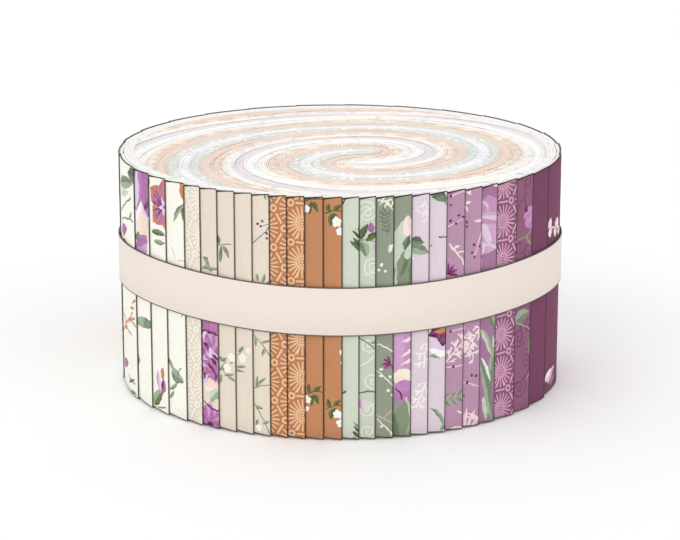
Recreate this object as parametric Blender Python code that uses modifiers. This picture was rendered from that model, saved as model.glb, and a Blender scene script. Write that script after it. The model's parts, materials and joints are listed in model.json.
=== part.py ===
"""A roll of forty quilting strips, standing on its cut edges, with a plain paper band round it.

The strips are 63.5 mm (2 1/2 in) wide.  They are laid together as one bundle, folded into an S
at the middle and wound up, so the top shows two spirals that run into each other.  Outside,
the forty strip ends lie side by side and each one stands a little proud of the next.

Frame: metres, +Z up, origin at the middle of the underside, -Y is the front.
"""
import math

import bmesh
import bpy

MM = 0.001

# Driving sizes
STRIP_WIDTH = 63.5 * MM       # width the strips are cut to, and the height of the roll
ROLL_RADIUS = 60.0 * MM       # to the outermost edges of the strip ends
GAP = 0.3 * MM                # clearance between neighbouring pieces

# The strip ends round the outside
END_THICKNESS = 1.0 * MM
END_TUCK = 0.35 * MM          # how far the tucked edge of an end lies inside its free edge
END_SHORT = 0.45 * MM         # how much lower the tucked edge is at the top
END_LIFT = 0.15 * MM          # how much higher the tucked edge is at the bottom
FACET = 3.0                   # degrees of the roll for each flat facet, at most

# The wound core: an S-folded bundle whose half turns share two centres
BUNDLE = 16.0 * MM            # thickness of the bundle, which is also half of a turn's pitch
FOLD_X = 6.8 * MM             # both fold centres lie on this line
FOLD_Y = -12.1 * MM           # middle between the two fold centres
SLIT = 0.5 * MM               # open width between neighbouring turns
WEDGE = 0.6 * MM              # thickness at which the bundle's outer ends stop
CORE_RADIUS = ROLL_RADIUS - END_TUCK - END_THICKNESS - GAP
STEPS_PER_HALF_TURN = 30

# The paper band
BAND_THICKNESS = 0.6 * MM
BAND_HEIGHT = 12.7 * MM
BAND_BOTTOM = 27.5 * MM       # at the front, where the band hangs lowest
BAND_BOW = 1.6 * MM           # how far it rises to each of its crests
BAND_CRESTS = 3               # one at each side and one at the back
BAND_SEGMENTS = 120

# Strip ends from the left side, across the front, to the right side: cloth and width in degrees
FRONT_ENDS = (
    ("ivory_floral", 19.0),
    ("petal_floral", 8.4),
    ("ivory_floral", 7.4),
    ("ivory_sprig", 6.9),
    ("beige_wheel", 5.2),
    ("beige_floral", 5.1),
    ("beige_sprig", 4.9),
    ("beige_plain", 4.7),
    ("beige_berry", 4.5),
    ("terracotta_wheel", 4.3),
    ("terracotta_wheel", 4.4),
    ("terracotta_sprig", 4.5),
    ("terracotta_sprig", 4.5),
    ("pale_green", 4.1),
    ("pale_scroll", 4.0),
    ("sage_floral", 4.4),
    ("sage_floral", 4.5),
    ("lilac_twig", 4.5),
    ("lilac_floral", 4.7),
    ("mauve_twig", 5.1),
    ("mauve_twig", 5.1),
    ("mauve_petal", 5.1),
    ("plum_wheel", 7.4),
    ("plum_scroll", 7.2),
    ("plum_plain", 9.3),
    ("plum_floral", 14.8),
)
FRONT_START = -83.3           # degrees from the front, where the leftmost visible end begins

# The ends round the back, which share the rest of the turn equally
BACK_ENDS = (
    "plum_wheel",
    "mauve_twig",
    "lilac_floral",
    "sage_floral",
    "pale_scroll",
    "terracotta_sprig",
    "beige_floral",
    "ivory_sprig",
    "petal_floral",
    "mauve_petal",
    "sage_floral",
    "terracotta_wheel",
    "beige_wheel",
    "ivory_floral",
)

# Ground colour of each cloth, linear RGB
CLOTH_COLOURS = {
    "ivory_floral": (0.95, 0.93, 0.84),
    "petal_floral": (0.62, 0.36, 0.54),
    "ivory_sprig": (0.96, 0.94, 0.84),
    "beige_wheel": (0.82, 0.76, 0.64),
    "beige_floral": (0.80, 0.71, 0.59),
    "beige_sprig": (0.80, 0.71, 0.59),
    "beige_plain": (0.80, 0.70, 0.58),
    "beige_berry": (0.78, 0.70, 0.59),
    "terracotta_wheel": (0.55, 0.30, 0.16),
    "terracotta_sprig": (0.53, 0.26, 0.13),
    "pale_green": (0.66, 0.70, 0.60),
    "pale_scroll": (0.60, 0.65, 0.54),
    "sage_floral": (0.30, 0.34, 0.25),
    "lilac_twig": (0.74, 0.64, 0.70),
    "lilac_floral": (0.75, 0.65, 0.72),
    "mauve_twig": (0.50, 0.30, 0.42),
    "mauve_petal": (0.40, 0.20, 0.33),
    "plum_wheel": (0.32, 0.14, 0.21),
    "plum_scroll": (0.29, 0.12, 0.20),
    "plum_plain": (0.22, 0.08, 0.14),
    "plum_floral": (0.21, 0.08, 0.14),
}
CORE_COLOUR = (0.85, 0.80, 0.74)
BAND_COLOUR = (0.83, 0.75, 0.68)


def clear_scene():
    for old in list(bpy.data.objects):
        bpy.data.objects.remove(old, do_unlink=True)


def cloth_material(name, colour, roughness):
    """A matt finish, shared by all pieces of one cloth."""
    material = bpy.data.materials.get(name)
    if material is None:
        material = bpy.data.materials.new(name)
        material.use_nodes = True
        shader = material.node_tree.nodes["Principled BSDF"]
        shader.inputs["Base Color"].default_value = (*colour, 1.0)
        shader.inputs["Roughness"].default_value = roughness
        shader.inputs["Metallic"].default_value = 0.0
    return material


def add_object(name, data, collection, material):
    piece = bpy.data.objects.new(name, data)
    data.materials.append(material)
    collection.objects.link(piece)
    return piece


def around(radius, degrees):
    """The point at this radius and this angle from the front, counted towards +X."""
    angle = math.radians(degrees)
    return radius * math.sin(angle), -radius * math.cos(angle)


# Wound core

def slit_side(first_centre, offset, reach):
    """One side of a slit, from its closed end out to this reach from the roll's axis.

    Each half circle is one bundle wider than the last, and they take the back and the front
    fold centre in turn: the back centre to the right of the fold line, the front one to its left.
    """
    points = []
    turn = 1
    while True:
        right_side = (turn % 2 == 1) == (first_centre == "back")
        centre_y = FOLD_Y + BUNDLE / 2 if right_side else FOLD_Y - BUNDLE / 2
        start_angle = -math.pi / 2 if right_side else math.pi / 2
        radius = turn * BUNDLE + offset
        for step in range(STEPS_PER_HALF_TURN):
            angle = start_angle + math.pi * step / STEPS_PER_HALF_TURN
            point = (FOLD_X + radius * math.cos(angle), centre_y + radius * math.sin(angle))
            if math.hypot(*point) >= reach:
                points.append(crossing(points[-1], point, reach))
                return points
            points.append(point)
        turn += 1


def crossing(inside, outside, reach):
    """Where the line between two points crosses the circle of this reach round the axis."""
    low, high = 0.0, 1.0
    for _ in range(40):
        share = (low + high) / 2
        x = inside[0] + (outside[0] - inside[0]) * share
        y = inside[1] + (outside[1] - inside[1]) * share
        if math.hypot(x, y) < reach:
            low = share
        else:
            high = share
    return x, y


def rim_arc(start, end):
    """Points on the core's round edge after the start and up to beside the end."""
    first = math.atan2(start[1], start[0])
    last = math.atan2(end[1], end[0])
    if last <= first:
        last += 2 * math.pi
    count = max(2, math.ceil(math.degrees(last - first) / FACET))
    points = []
    for step in range(1, count + 1):
        angle = first + (last - first) * step / count
        points.append((CORE_RADIUS * math.cos(angle), CORE_RADIUS * math.sin(angle)))
    return points


def core_outline():
    """The S-folded bundle in plan: a disc that two spiral slits cut into one winding ribbon.

    The wedge outside each slit is cut off square where it is still WEDGE thick.
    """
    sides = []
    for first_centre in ("front", "back"):
        outer = slit_side(first_centre, SLIT / 2, CORE_RADIUS - WEDGE)
        inner = slit_side(first_centre, -SLIT / 2, CORE_RADIUS)
        sides.append((outer, inner))
    outline = []
    for index, (outer, inner) in enumerate(sides):
        next_outer = sides[(index + 1) % 2][0]
        outline += outer[::-1]
        outline += inner
        outline += rim_arc(inner[-1], next_outer[-1])
    return outline


def build_core(collection):
    curve = bpy.data.curves.new("wound_roll", "CURVE")
    curve.dimensions = "2D"
    curve.fill_mode = "BOTH"
    curve.extrude = STRIP_WIDTH / 2 - END_SHORT / 2
    outline = core_outline()
    spline = curve.splines.new("POLY")
    spline.points.add(len(outline) - 1)
    for point, (x, y) in zip(spline.points, outline):
        point.co = (x, y, 0.0, 1.0)
    spline.use_cyclic_u = True
    core = add_object("wound_roll", curve, collection, cloth_material("wound_cloth", CORE_COLOUR, 0.95))
    core.location.z = curve.extrude
    return core


# Strip ends

def end_spans():
    """Cloth, first angle and last angle of every strip end, once round the roll."""
    spans = []
    angle = FRONT_START
    for cloth, width in FRONT_ENDS:
        spans.append((cloth, angle, angle + width))
        angle += width
    back_width = (360.0 - (angle - FRONT_START)) / len(BACK_ENDS)
    for cloth in BACK_ENDS:
        spans.append((cloth, angle, angle + back_width))
        angle += back_width
    return spans


def build_strip_end(number, cloth, first, last, collection):
    """A curved sheet that rises from its tucked edge to its free edge, which is also taller."""
    half_gap = math.degrees(GAP / 2 / ROLL_RADIUS)
    first += half_gap
    last -= half_gap
    facets = max(2, math.ceil((last - first) / FACET))
    name = f"strip_end_{number:02d}"
    mesh = bpy.data.meshes.new(name)
    shell = bmesh.new()
    bmesh.ops.create_grid(shell, x_segments=facets, y_segments=1, size=0.5)
    for vert in shell.verts:
        share = vert.co.x + 0.5
        top = vert.co.y > 0.0
        radius = ROLL_RADIUS - END_TUCK * (1.0 - share)
        x, y = around(radius, first + (last - first) * share)
        z = STRIP_WIDTH - END_SHORT * (1.0 - share) if top else END_LIFT * (1.0 - share)
        vert.co = (x, y, z)
    shell.to_mesh(mesh)
    shell.free()
    end = add_object(name, mesh, collection, cloth_material(cloth, CLOTH_COLOURS[cloth], 0.9))
    solidify = end.modifiers.new("thickness", "SOLIDIFY")
    solidify.thickness = END_THICKNESS
    solidify.offset = -1.0
    return end


# Paper band

def build_band(collection):
    """A bare ring round the middle of the roll, which rises and sinks a little on its way."""
    inner = ROLL_RADIUS + GAP
    mesh = bpy.data.meshes.new("paper_band")
    ring = bmesh.new()
    bmesh.ops.create_cone(
        ring, cap_ends=False, segments=BAND_SEGMENTS, radius1=inner, radius2=inner, depth=BAND_HEIGHT,
    )
    for vert in ring.verts:
        from_front = math.atan2(vert.co.x, -vert.co.y)
        bow = BAND_BOW * (1.0 - math.cos(BAND_CRESTS * from_front)) / 2
        vert.co.z += BAND_BOTTOM + BAND_HEIGHT / 2 + bow
    ring.to_mesh(mesh)
    ring.free()
    band = add_object("paper_band", mesh, collection, cloth_material("paper", BAND_COLOUR, 0.7))
    solidify = band.modifiers.new("thickness", "SOLIDIFY")
    solidify.thickness = BAND_THICKNESS
    solidify.offset = 1.0
    return band


def main():
    clear_scene()
    collection = bpy.data.collections.new("strip_roll")
    bpy.context.scene.collection.children.link(collection)
    build_core(collection)
    for number, (cloth, first, last) in enumerate(end_spans(), start=1):
        build_strip_end(number, cloth, first, last, collection)
    build_band(collection)


main()
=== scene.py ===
import json
import math

import bpy
import numpy as np
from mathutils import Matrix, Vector


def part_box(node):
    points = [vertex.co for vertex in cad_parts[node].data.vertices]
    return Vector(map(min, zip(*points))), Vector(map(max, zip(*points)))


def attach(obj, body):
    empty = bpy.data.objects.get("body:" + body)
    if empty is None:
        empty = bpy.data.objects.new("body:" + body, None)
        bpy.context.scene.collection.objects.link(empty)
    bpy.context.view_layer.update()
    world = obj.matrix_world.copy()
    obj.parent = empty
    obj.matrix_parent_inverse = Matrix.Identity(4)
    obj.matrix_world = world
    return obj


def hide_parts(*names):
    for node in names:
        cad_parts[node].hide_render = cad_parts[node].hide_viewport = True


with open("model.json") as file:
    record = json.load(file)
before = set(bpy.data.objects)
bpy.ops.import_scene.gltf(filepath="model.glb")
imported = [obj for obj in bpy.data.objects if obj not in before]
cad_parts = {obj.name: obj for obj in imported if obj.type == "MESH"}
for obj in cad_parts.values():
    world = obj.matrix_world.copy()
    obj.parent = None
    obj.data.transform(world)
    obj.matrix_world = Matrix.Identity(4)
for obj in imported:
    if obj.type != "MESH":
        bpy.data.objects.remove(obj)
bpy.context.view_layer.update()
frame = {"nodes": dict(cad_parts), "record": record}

MM = 0.001

# ---- Sizes, in millimetres.  The roll's own height and radius come from the frame.

ROLL_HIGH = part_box("wound_roll")[1]
END_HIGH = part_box("strip_end_14")[1]
HEIGHT = END_HIGH[2] / MM
BAND_LOW, BAND_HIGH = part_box("paper_band")

# The wound bundle: half turns about two fold centres, one bundle apart
BUNDLE = 16.0
FOLD_X = 6.8
BACK_FOLD_Y = -4.1
FRONT_FOLD_Y = BACK_FOLD_Y - BUNDLE
CLOTHS_ACROSS = 5.5            # coloured cloths side by side in the bundle, the middle one halved
BAND_WIDTH = BUNDLE / CLOTHS_ACROSS
ARM_REACH = 6 * BUNDLE         # half turns wide enough to leave the roll
LAYERS = 6                     # doubled layers of one cloth side by side
COLOUR_GAP = 0.10              # open width between two cloths
LAYER_GAP = 0.02               # open width between two layers of one cloth
CORE_REACH = ROLL_HIGH[0] / MM + 0.05    # just past the frame's wound roll
OUTER_TURNS = 3                # white layers that go right round the coloured ones
OUTER_PITCH = 0.88
BAND_REACH = CORE_REACH - OUTER_TURNS * OUTER_PITCH
TOP_DROP = 0.30                # how far the wound edges lie below the strip ends' tops
STEP = 2.2                     # length of a layer's straight bits
FEWEST_BITS = 12               # straight bits of the smallest half turn
OUTER_POINTS = 240             # points of a white turn
LAYER_SLIT = 0.1               # gap where a white turn ends
TURN_BEVEL = 0.06
LAYER_UNEVEN = 0.10            # most that a layer stands above or below the others
LAYER_WAVES = ((0.06, 9.0), (0.05, 23.0))    # height and length of the waves in a layer's top
LAYER_FOOT = 0.02              # gap beneath a coloured layer
OUTER_FOOT = 0.1               # gap beneath a white one
JOINT_INSET = 0.06             # how much narrower the shade along the white turns' joints is
RIBBON_POINTS = 8              # points round the section of a layer
WANDER = 0.22                  # how far the layers stray in plan
WANDER_SCALE = 11.0            # distance over which they do
WAVE_STARTS = 6.28             # range of the random starts of waves, in radians
LAYER_SEED = 11
OUTER_SEED = 3
WANDER_SEED = 5
END_SEED = 29

# The strip ends
SHEET = 0.36                   # thickness of an end's doubled cloth
SHEET_GAP = 0.04
COLUMN_STEP = 0.9              # width of an end's columns
LAP = SHEET + SHEET_GAP        # how much deeper each end lies than the one that covers it
LAPS = 2                       # ends that cover each end's hidden part
END_SHORT = 0.45               # drop of an end's top from its free edge to its hidden part
BACK_SHORT = 0.05              # the same, at the back of the roll
HIDDEN_DROP = 0.25             # how much lower the hidden part's top lies there
DROP_RUN = 0.3                 # width over which it drops
END_LIFT = 0.40                # rise of its bottom
END_ROWS = 24
END_BEVEL = 0.09
FRONT_ENDS = 26                # ends that show at the front

# The paper band
PAPER = 0.30
PAPER_CLEAR = 0.12
PAPER_OVERLAP = 12.0
PAPER_START = 150.0            # degrees from the front at which the overlap begins
PAPER_BITS = 240
PAPER_BEVEL = 0.06
LAP_CLEAR = 0.05               # gap between the band's lapped layers
LAP_RISE = 2.2                 # overlap lengths from its end at which the band starts to rise
BAND_BOW = 1.6                 # height of the waves that the band runs in
BAND_CRESTS = 3                # waves round the roll, lowest at the front
BAND_HEIGHT = (BAND_HIGH[2] - BAND_LOW[2]) / MM - BAND_BOW

# The cloth and its print
THREAD_PITCH = 0.42
INK_EDGE = 0.06                # half the width over which a printed edge fades
CREASE_SHADE = 0.09                  # width of the painted shade beside each lapped edge
RIM_SHADE_LINE = 0.25                # width of the painted line of shade along each end's top and bottom
CUT_SHADE_LINE = 0.20                # width of the painted line of shade on a cut edge
CLOTH_LIGHT = 0.905            # how light a cloth is between its threads
WOBBLE_SCALE = 2.4             # distance over which the drawing of a print strays
SCRAP_TILE = (7.2, 6.0)        # tile of the scraps of print on the wound edges

# The camera, the lights and the floor, in metres and degrees
LENS = 130.55                  # millimetres, for a picture 36 wide
CAMERA_PLACE = (-0.00003, -0.6549, 0.2024)
CAMERA_DIP = 14.846            # how far the camera looks down from the level
SURROUNDINGS = 0.90            # strength of the white light from all round
KEY_LIGHT = ((0.60, 0.75, -0.80), 0.50, 40.0)      # direction, strength and spread
FILL_LIGHT = ((-0.75, 0.60, -0.55), 0.22, 50.0)
FLOOR_REACH = 3.0
FLOOR_LEVEL = -0.0002


def end_radius():
    """Radius of the strip ends' outer edges, from the frame."""
    reach = 0.0
    for vert in frame["nodes"]["strip_end_14"].data.vertices:
        reach = max(reach, math.hypot(vert.co.x, vert.co.y))
    return reach / MM


RADIUS = end_radius()


def srgb(red, green, blue):
    """A colour as shown on a screen, in the linear values that the nodes use."""
    def channel(value):
        value /= 255.0
        return value / 12.92 if value <= 0.04045 else ((value + 0.055) / 1.055) ** 2.4
    return channel(red), channel(green), channel(blue)


# Dyes
IVORY = srgb(253, 251, 240)
BEIGE = srgb(234, 221, 204)
WHEEL_BEIGE = srgb(232, 221, 202)
TERRACOTTA = srgb(196, 139, 99)
WHEEL_BROWN = srgb(190, 129, 90)
PALE_GREEN = srgb(212, 218, 202)
SCROLL_GREEN = srgb(203, 211, 193)
SAGE = srgb(149, 157, 138)
PALE_LILAC = srgb(226, 211, 220)
MAUVE_GROUND = srgb(188, 149, 175)
DEEP_MAUVE = srgb(170, 122, 156)
WHEEL_PLUM = srgb(140, 94, 118)
SCROLL_PLUM = srgb(149, 98, 124)
PLUM_GROUND = srgb(124, 68, 98)

WHITE = srgb(254, 253, 249)
CREAM = srgb(250, 240, 222)
OFF_WHITE = srgb(250, 247, 236)
MIST = srgb(242, 233, 240)
PEACH = srgb(248, 222, 203)
LEAF = srgb(122, 139, 114)
LEAF_DARK = srgb(88, 108, 83)
LEAF_PALE = srgb(163, 178, 152)
LEAF_MIST = srgb(206, 216, 196)
DULL_LEAF = srgb(116, 130, 104)
DULL_STEM = srgb(154, 146, 122)
STEM = srgb(102, 115, 96)
MAUVE = srgb(178, 112, 170)
ORCHID = srgb(212, 160, 206)
LILAC = srgb(228, 208, 234)
PINK = srgb(244, 214, 216)
BERRY = srgb(168, 104, 156)
PLUM = srgb(120, 46, 98)
DEEP_PLUM = srgb(108, 24, 84)
OLIVE = srgb(106, 116, 72)
OLIVE_DARK = srgb(82, 96, 56)
ORANGE = srgb(214, 134, 74)
CORAL = srgb(204, 138, 98)
RIM_WHITE = srgb(255, 254, 251)
CREAM_EDGE = srgb(253, 244, 230)
CARD = srgb(236, 224, 215)
CARD_EDGE_SHADE = srgb(64, 58, 58)
SHADE = srgb(42, 37, 38)       # for the thin lines of shade along edges


# ---- Camera, light and floor

def add_sun(name, direction, strength, spread):
    """A soft far light that shines along this direction."""
    light = bpy.data.lights.new(name, "SUN")
    light.energy = strength
    light.angle = math.radians(spread)
    lamp = bpy.data.objects.new(name, light)
    lamp.rotation_mode = "QUATERNION"
    lamp.rotation_quaternion = Vector(direction).to_track_quat("-Z", "Y")
    bpy.context.scene.collection.objects.link(lamp)


def build_camera():
    """A long lens, a little above the roll."""
    data = bpy.data.cameras.new("camera")
    data.lens = LENS
    data.sensor_width = 36.0
    data.clip_start = 0.01
    camera = bpy.data.objects.new("camera", data)
    camera.location = CAMERA_PLACE
    camera.rotation_euler = (math.radians(90.0 - CAMERA_DIP), 0.0, 0.0)
    bpy.context.scene.collection.objects.link(camera)
    bpy.context.scene.camera = camera


def build_lights():
    """Even white light from all round, and two soft suns."""
    world = bpy.data.worlds.new("studio")
    world.use_nodes = True
    background = world.node_tree.nodes["Background"]
    background.inputs["Color"].default_value = (1.0, 1.0, 1.0, 1.0)
    background.inputs["Strength"].default_value = SURROUNDINGS
    bpy.context.scene.world = world
    add_sun("key", *KEY_LIGHT)
    add_sun("fill", *FILL_LIGHT)


def build_floor():
    """A wide white floor just under the roll."""
    mesh = bpy.data.meshes.new("floor")
    side = FLOOR_REACH
    corners = [(-side, -side, 0), (side, -side, 0), (side, side, 0), (-side, side, 0)]
    mesh.from_pydata(corners, [], [(0, 1, 2, 3)])
    floor = bpy.data.objects.new("floor", mesh)
    floor.location.z = FLOOR_LEVEL
    bpy.context.scene.collection.objects.link(floor)
    material, _, shader = new_material("floor")
    shader.inputs["Base Color"].default_value = (0.99, 0.99, 0.99, 1.0)
    shader.inputs["Roughness"].default_value = 0.9
    mesh.materials.append(material)


# ---- Arithmetic with nodes

def operator(operation, swapped=False):
    """A method that joins two numbers by a math node."""
    def method(self, other):
        pair = (other, self) if swapped else (self, other)
        return calculate(self.tree, operation, *pair)
    return method


class Value:
    """The number that a node gives.  Arithmetic on it adds math nodes to the same tree."""

    def __init__(self, tree, socket):
        self.tree = tree
        self.socket = socket

    __add__ = __radd__ = operator("ADD")
    __mul__ = __rmul__ = operator("MULTIPLY")
    __sub__ = operator("SUBTRACT")
    __rsub__ = operator("SUBTRACT", swapped=True)
    __truediv__ = operator("DIVIDE")
    __rtruediv__ = operator("DIVIDE", swapped=True)

    def __neg__(self):
        return self * -1.0

    def __abs__(self):
        return calculate(self.tree, "ABSOLUTE", self)


def connect(tree, value, socket):
    """Feeds a socket from a Value or another socket, or sets it to a constant."""
    if isinstance(value, Value):
        tree.links.new(value.socket, socket)
    elif isinstance(value, bpy.types.NodeSocket):
        tree.links.new(value, socket)
    elif isinstance(value, tuple) and len(socket.default_value) == 4:
        socket.default_value = (*value[:3], 1.0)
    else:
        socket.default_value = value


def calculate(tree, operation, *inputs):
    """The result of one math node."""
    node = tree.nodes.new("ShaderNodeMath")
    node.operation = operation
    for value, socket in zip(inputs, node.inputs):
        connect(tree, value, socket)
    return Value(tree, node.outputs[0])


def smaller(a, b):
    return calculate(a.tree, "MINIMUM", a, b)


def larger(a, b):
    return calculate(a.tree, "MAXIMUM", a, b)


def sine(value):
    return calculate(value.tree, "SINE", value)


def cosine(value):
    return calculate(value.tree, "COSINE", value)


def wrapped(value, low, high):
    return calculate(value.tree, "WRAP", value, high, low)


def length_of(x, y):
    return calculate(x.tree, "SQRT", x * x + y * y)


def angle_of(x, y):
    return calculate(x.tree, "ARCTAN2", y, x)


def smooth(value, low, high):
    """0 at low and 1 at high, with a soft start and end; low may be the larger."""
    node = value.tree.nodes.new("ShaderNodeMapRange")
    node.interpolation_type = "SMOOTHSTEP"
    connect(value.tree, value, node.inputs["Value"])
    node.inputs["From Min"].default_value = low
    node.inputs["From Max"].default_value = high
    return Value(value.tree, node.outputs["Result"])


def inside(distance):
    """1 where a signed distance in millimetres is positive, with a softened edge."""
    return smooth(distance, -INK_EDGE, INK_EDGE)


def between(value, low, high):
    """1 where a value lies between two others, with softened edges."""
    return inside(smaller(value - low, high - value))


def mix_colour(tree, share, first, second, blend="MIX"):
    """The first colour with this share of the second mixed into it."""
    node = tree.nodes.new("ShaderNodeMix")
    node.data_type = "RGBA"
    node.blend_type = blend
    connect(tree, share, node.inputs[0])
    connect(tree, first, node.inputs[6])
    connect(tree, second, node.inputs[7])
    return node.outputs[2]


def attribute(tree, name):
    """The vector that a mesh carries at each point under this name."""
    node = tree.nodes.new("ShaderNodeAttribute")
    node.attribute_name = name
    return node.outputs["Vector"]


def split(tree, vector):
    """The three numbers of a vector."""
    node = tree.nodes.new("ShaderNodeSeparateXYZ")
    connect(tree, vector, node.inputs[0])
    return [Value(tree, socket) for socket in node.outputs]


def vector_math(tree, operation, *inputs):
    """The result of one vector node."""
    node = tree.nodes.new("ShaderNodeVectorMath")
    node.operation = operation
    for value, socket in zip(inputs, node.inputs):
        connect(tree, value, socket)
    return node.outputs[0]


def noise(tree, vector, size, detail=2.0, output="Fac"):
    """Cloudy noise whose features are about this many millimetres across."""
    node = tree.nodes.new("ShaderNodeTexNoise")
    connect(tree, vector, node.inputs["Vector"])
    node.inputs["Scale"].default_value = 1.0 / size
    node.inputs["Detail"].default_value = detail
    if output == "Fac":
        return Value(tree, node.outputs["Fac"])
    return node.outputs["Color"]


def start_group(name, inputs, output):
    """A node group with these (kind, name) inputs and one output; gives the tree, the inputs by
    name and the socket to feed."""
    tree = bpy.data.node_groups.new(name, "ShaderNodeTree")
    for kind, label in inputs:
        tree.interface.new_socket(label, in_out="INPUT", socket_type="NodeSocket" + kind)
    tree.interface.new_socket(output[1], in_out="OUTPUT", socket_type="NodeSocket" + output[0])
    source = tree.nodes.new("NodeGroupInput")
    sockets = {}
    for kind, label in inputs:
        socket = source.outputs[label]
        sockets[label] = Value(tree, socket) if kind == "Float" else socket
    return tree, sockets, tree.nodes.new("NodeGroupOutput").inputs[0]


def use_group(tree, group, **values):
    """What a node group gives for these inputs."""
    node = tree.nodes.new("ShaderNodeGroup")
    node.node_tree = group
    for label, value in values.items():
        connect(tree, value, node.inputs[label])
    return node.outputs[0]


# ---- Motifs.  Each drawing function takes u and v, the millimetres along and across the motif, and
# its own sizes and colours, and gives the motif's mask and colour.

def leaf_shape(u, v, length, width, bend=None):
    """Mask of a pointed leaf from the origin along u, widest before its middle, and the way
    across its mid rib."""
    share = calculate(u.tree, "POWER", larger(u / length, 0.0), 0.8)
    bulge = share * (1.0 - share) * 4.0
    across = v if bend is None else v - bulge * bend
    mask = inside(bulge * width * 0.5 - abs(across)) * between(u, 0.0, length)
    return mask, across


def spoke_place(u, v, spokes):
    """The way along and across the nearest of some spokes, and the distance from their hub."""
    reach = length_of(u, v)
    turn = math.pi / spokes
    own = wrapped(angle_of(u, v), -turn, turn)
    return reach * cosine(own), reach * sine(own), reach


def branch_place(u, v, pitch, lean, shift=None):
    """For branches that slant off both sides of a stem: where the nearest one starts, the way
    along it from the stem and the way from it along the stem."""
    start = u - abs(v) * (1.0 / math.tan(lean))
    if shift is not None:
        start = start + shift
    nearest = wrapped(start, pitch * -0.5, pitch * 0.5)
    along = abs(v) * (1.0 / math.sin(lean)) + nearest * math.cos(lean)
    return start, along, nearest


def draw_leaf(u, v, length, width, bend, dark, light):
    mask, across = leaf_shape(u, v, length, width, bend)
    return mask, mix_colour(u.tree, smooth(across, -0.15, 0.15), dark, light)


def draw_dot(u, v, radius, colour):
    return inside(radius - length_of(u, v)), colour


def draw_line(u, v, length, line, bend, colour):
    """A bowed line with round ends."""
    share = u / length
    across = v - share * (1.0 - share) * 4.0 * bend
    past = larger(-u, u - length)
    return inside(line - length_of(larger(past, 0.0), across)), colour


def draw_sprig(u, v, length, pitch, leaf, width, dark, light):
    """A stalk with pairs of leaves that slant forward, and a leaf at its tip."""
    lean = math.radians(48.0)
    start, along, nearest = branch_place(u, v, pitch, lean)
    side, rib = leaf_shape(along, nearest * math.sin(lean), leaf, width)
    side = side * between(start, pitch * -0.4, length)
    tip, _ = leaf_shape(u - length, v, leaf, width)
    stalk = inside(0.10 - abs(v)) * between(u, pitch * -1.0, length)
    mask = larger(larger(side, tip), stalk)
    return mask, mix_colour(u.tree, smooth(rib, -0.1, 0.1), dark, light)


def draw_twig(u, v, length, pitch, branch, line, colour):
    """A stem with forked branches on alternate sides."""
    lean = math.radians(55.0)
    shift = smooth(v, -0.01, 0.01) * pitch * 0.5
    start, along, nearest = branch_place(u, v, pitch, lean, shift)
    across = abs(nearest) * math.sin(lean)
    stroke = inside(line - across) * inside(branch - along)
    fork = inside(line - abs(across - (along - branch * 0.45) * 0.7) * 0.8)
    fork = fork * between(along, branch * 0.45, branch * 1.1)
    branches = larger(stroke, fork) * between(start, 0.0, length)
    stem = inside(line - abs(v)) * between(u, 0.0, length)
    return larger(branches, stem), colour


def draw_flower(u, v, petals, length, width, eye, streak, tip, heart, centre):
    """Pointed petals round an eye, with streaks of the heart's colour along them."""
    along, across, reach = spoke_place(u, v, petals)
    mask, _ = leaf_shape(along, across, length, width)
    share = smooth(along / length, 0.25, 0.95) + sine(across / width * 17.0) * streak
    colour = mix_colour(u.tree, smooth(share, 0.2, 0.8), heart, tip)
    middle = inside(eye - reach)
    return larger(mask, middle), mix_colour(u.tree, middle, colour, centre)


def draw_blossom(u, v, petals, reach, radius, colour, centre):
    """A small flower of round petals."""
    along, across, away = spoke_place(u, v, petals)
    petal = inside(radius - length_of(along - reach, across))
    eye = inside(radius * 0.45 - away)
    return larger(petal, eye), mix_colour(u.tree, eye, colour, centre)


def draw_wheel(u, v, spokes, first, last, line, hub, colour):
    """Spokes with round ends about a hub ring."""
    along, across, reach = spoke_place(u, v, spokes)
    past = larger(larger(first - along, along - last), 0.0)
    spoke = inside(line - length_of(past, across))
    ring = inside(line - abs(reach - hub))
    return larger(spoke, ring), colour


def draw_ring(u, v, radius, line, colour):
    return inside(line - abs(length_of(u, v) - radius)), colour


def draw_scroll(u, v, radius, pitch, line, colour):
    """A spiral line."""
    reach = length_of(u, v)
    away = wrapped(reach - angle_of(u, v) * pitch / (2 * math.pi), pitch * -0.5, pitch * 0.5)
    return inside(line - abs(away)) * inside(radius - reach), colour


MOTIFS = {
    "leaf": (draw_leaf, ("length", "width", "bend"), ("dark", "light")),
    "dot": (draw_dot, ("radius",), ("colour",)),
    "line": (draw_line, ("length", "line", "bend"), ("colour",)),
    "sprig": (draw_sprig, ("length", "pitch", "leaf", "width"), ("dark", "light")),
    "twig": (draw_twig, ("length", "pitch", "branch", "line"), ("colour",)),
    "flower": (draw_flower, ("petals", "length", "width", "eye", "streak"), ("tip", "heart", "centre")),
    "blossom": (draw_blossom, ("petals", "reach", "radius"), ("colour", "centre")),
    "wheel": (draw_wheel, ("spokes", "first", "last", "line", "hub"), ("colour",)),
    "ring": (draw_ring, ("radius", "line"), ("colour",)),
    "scroll": (draw_scroll, ("radius", "pitch", "line"), ("colour",)),
}


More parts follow.
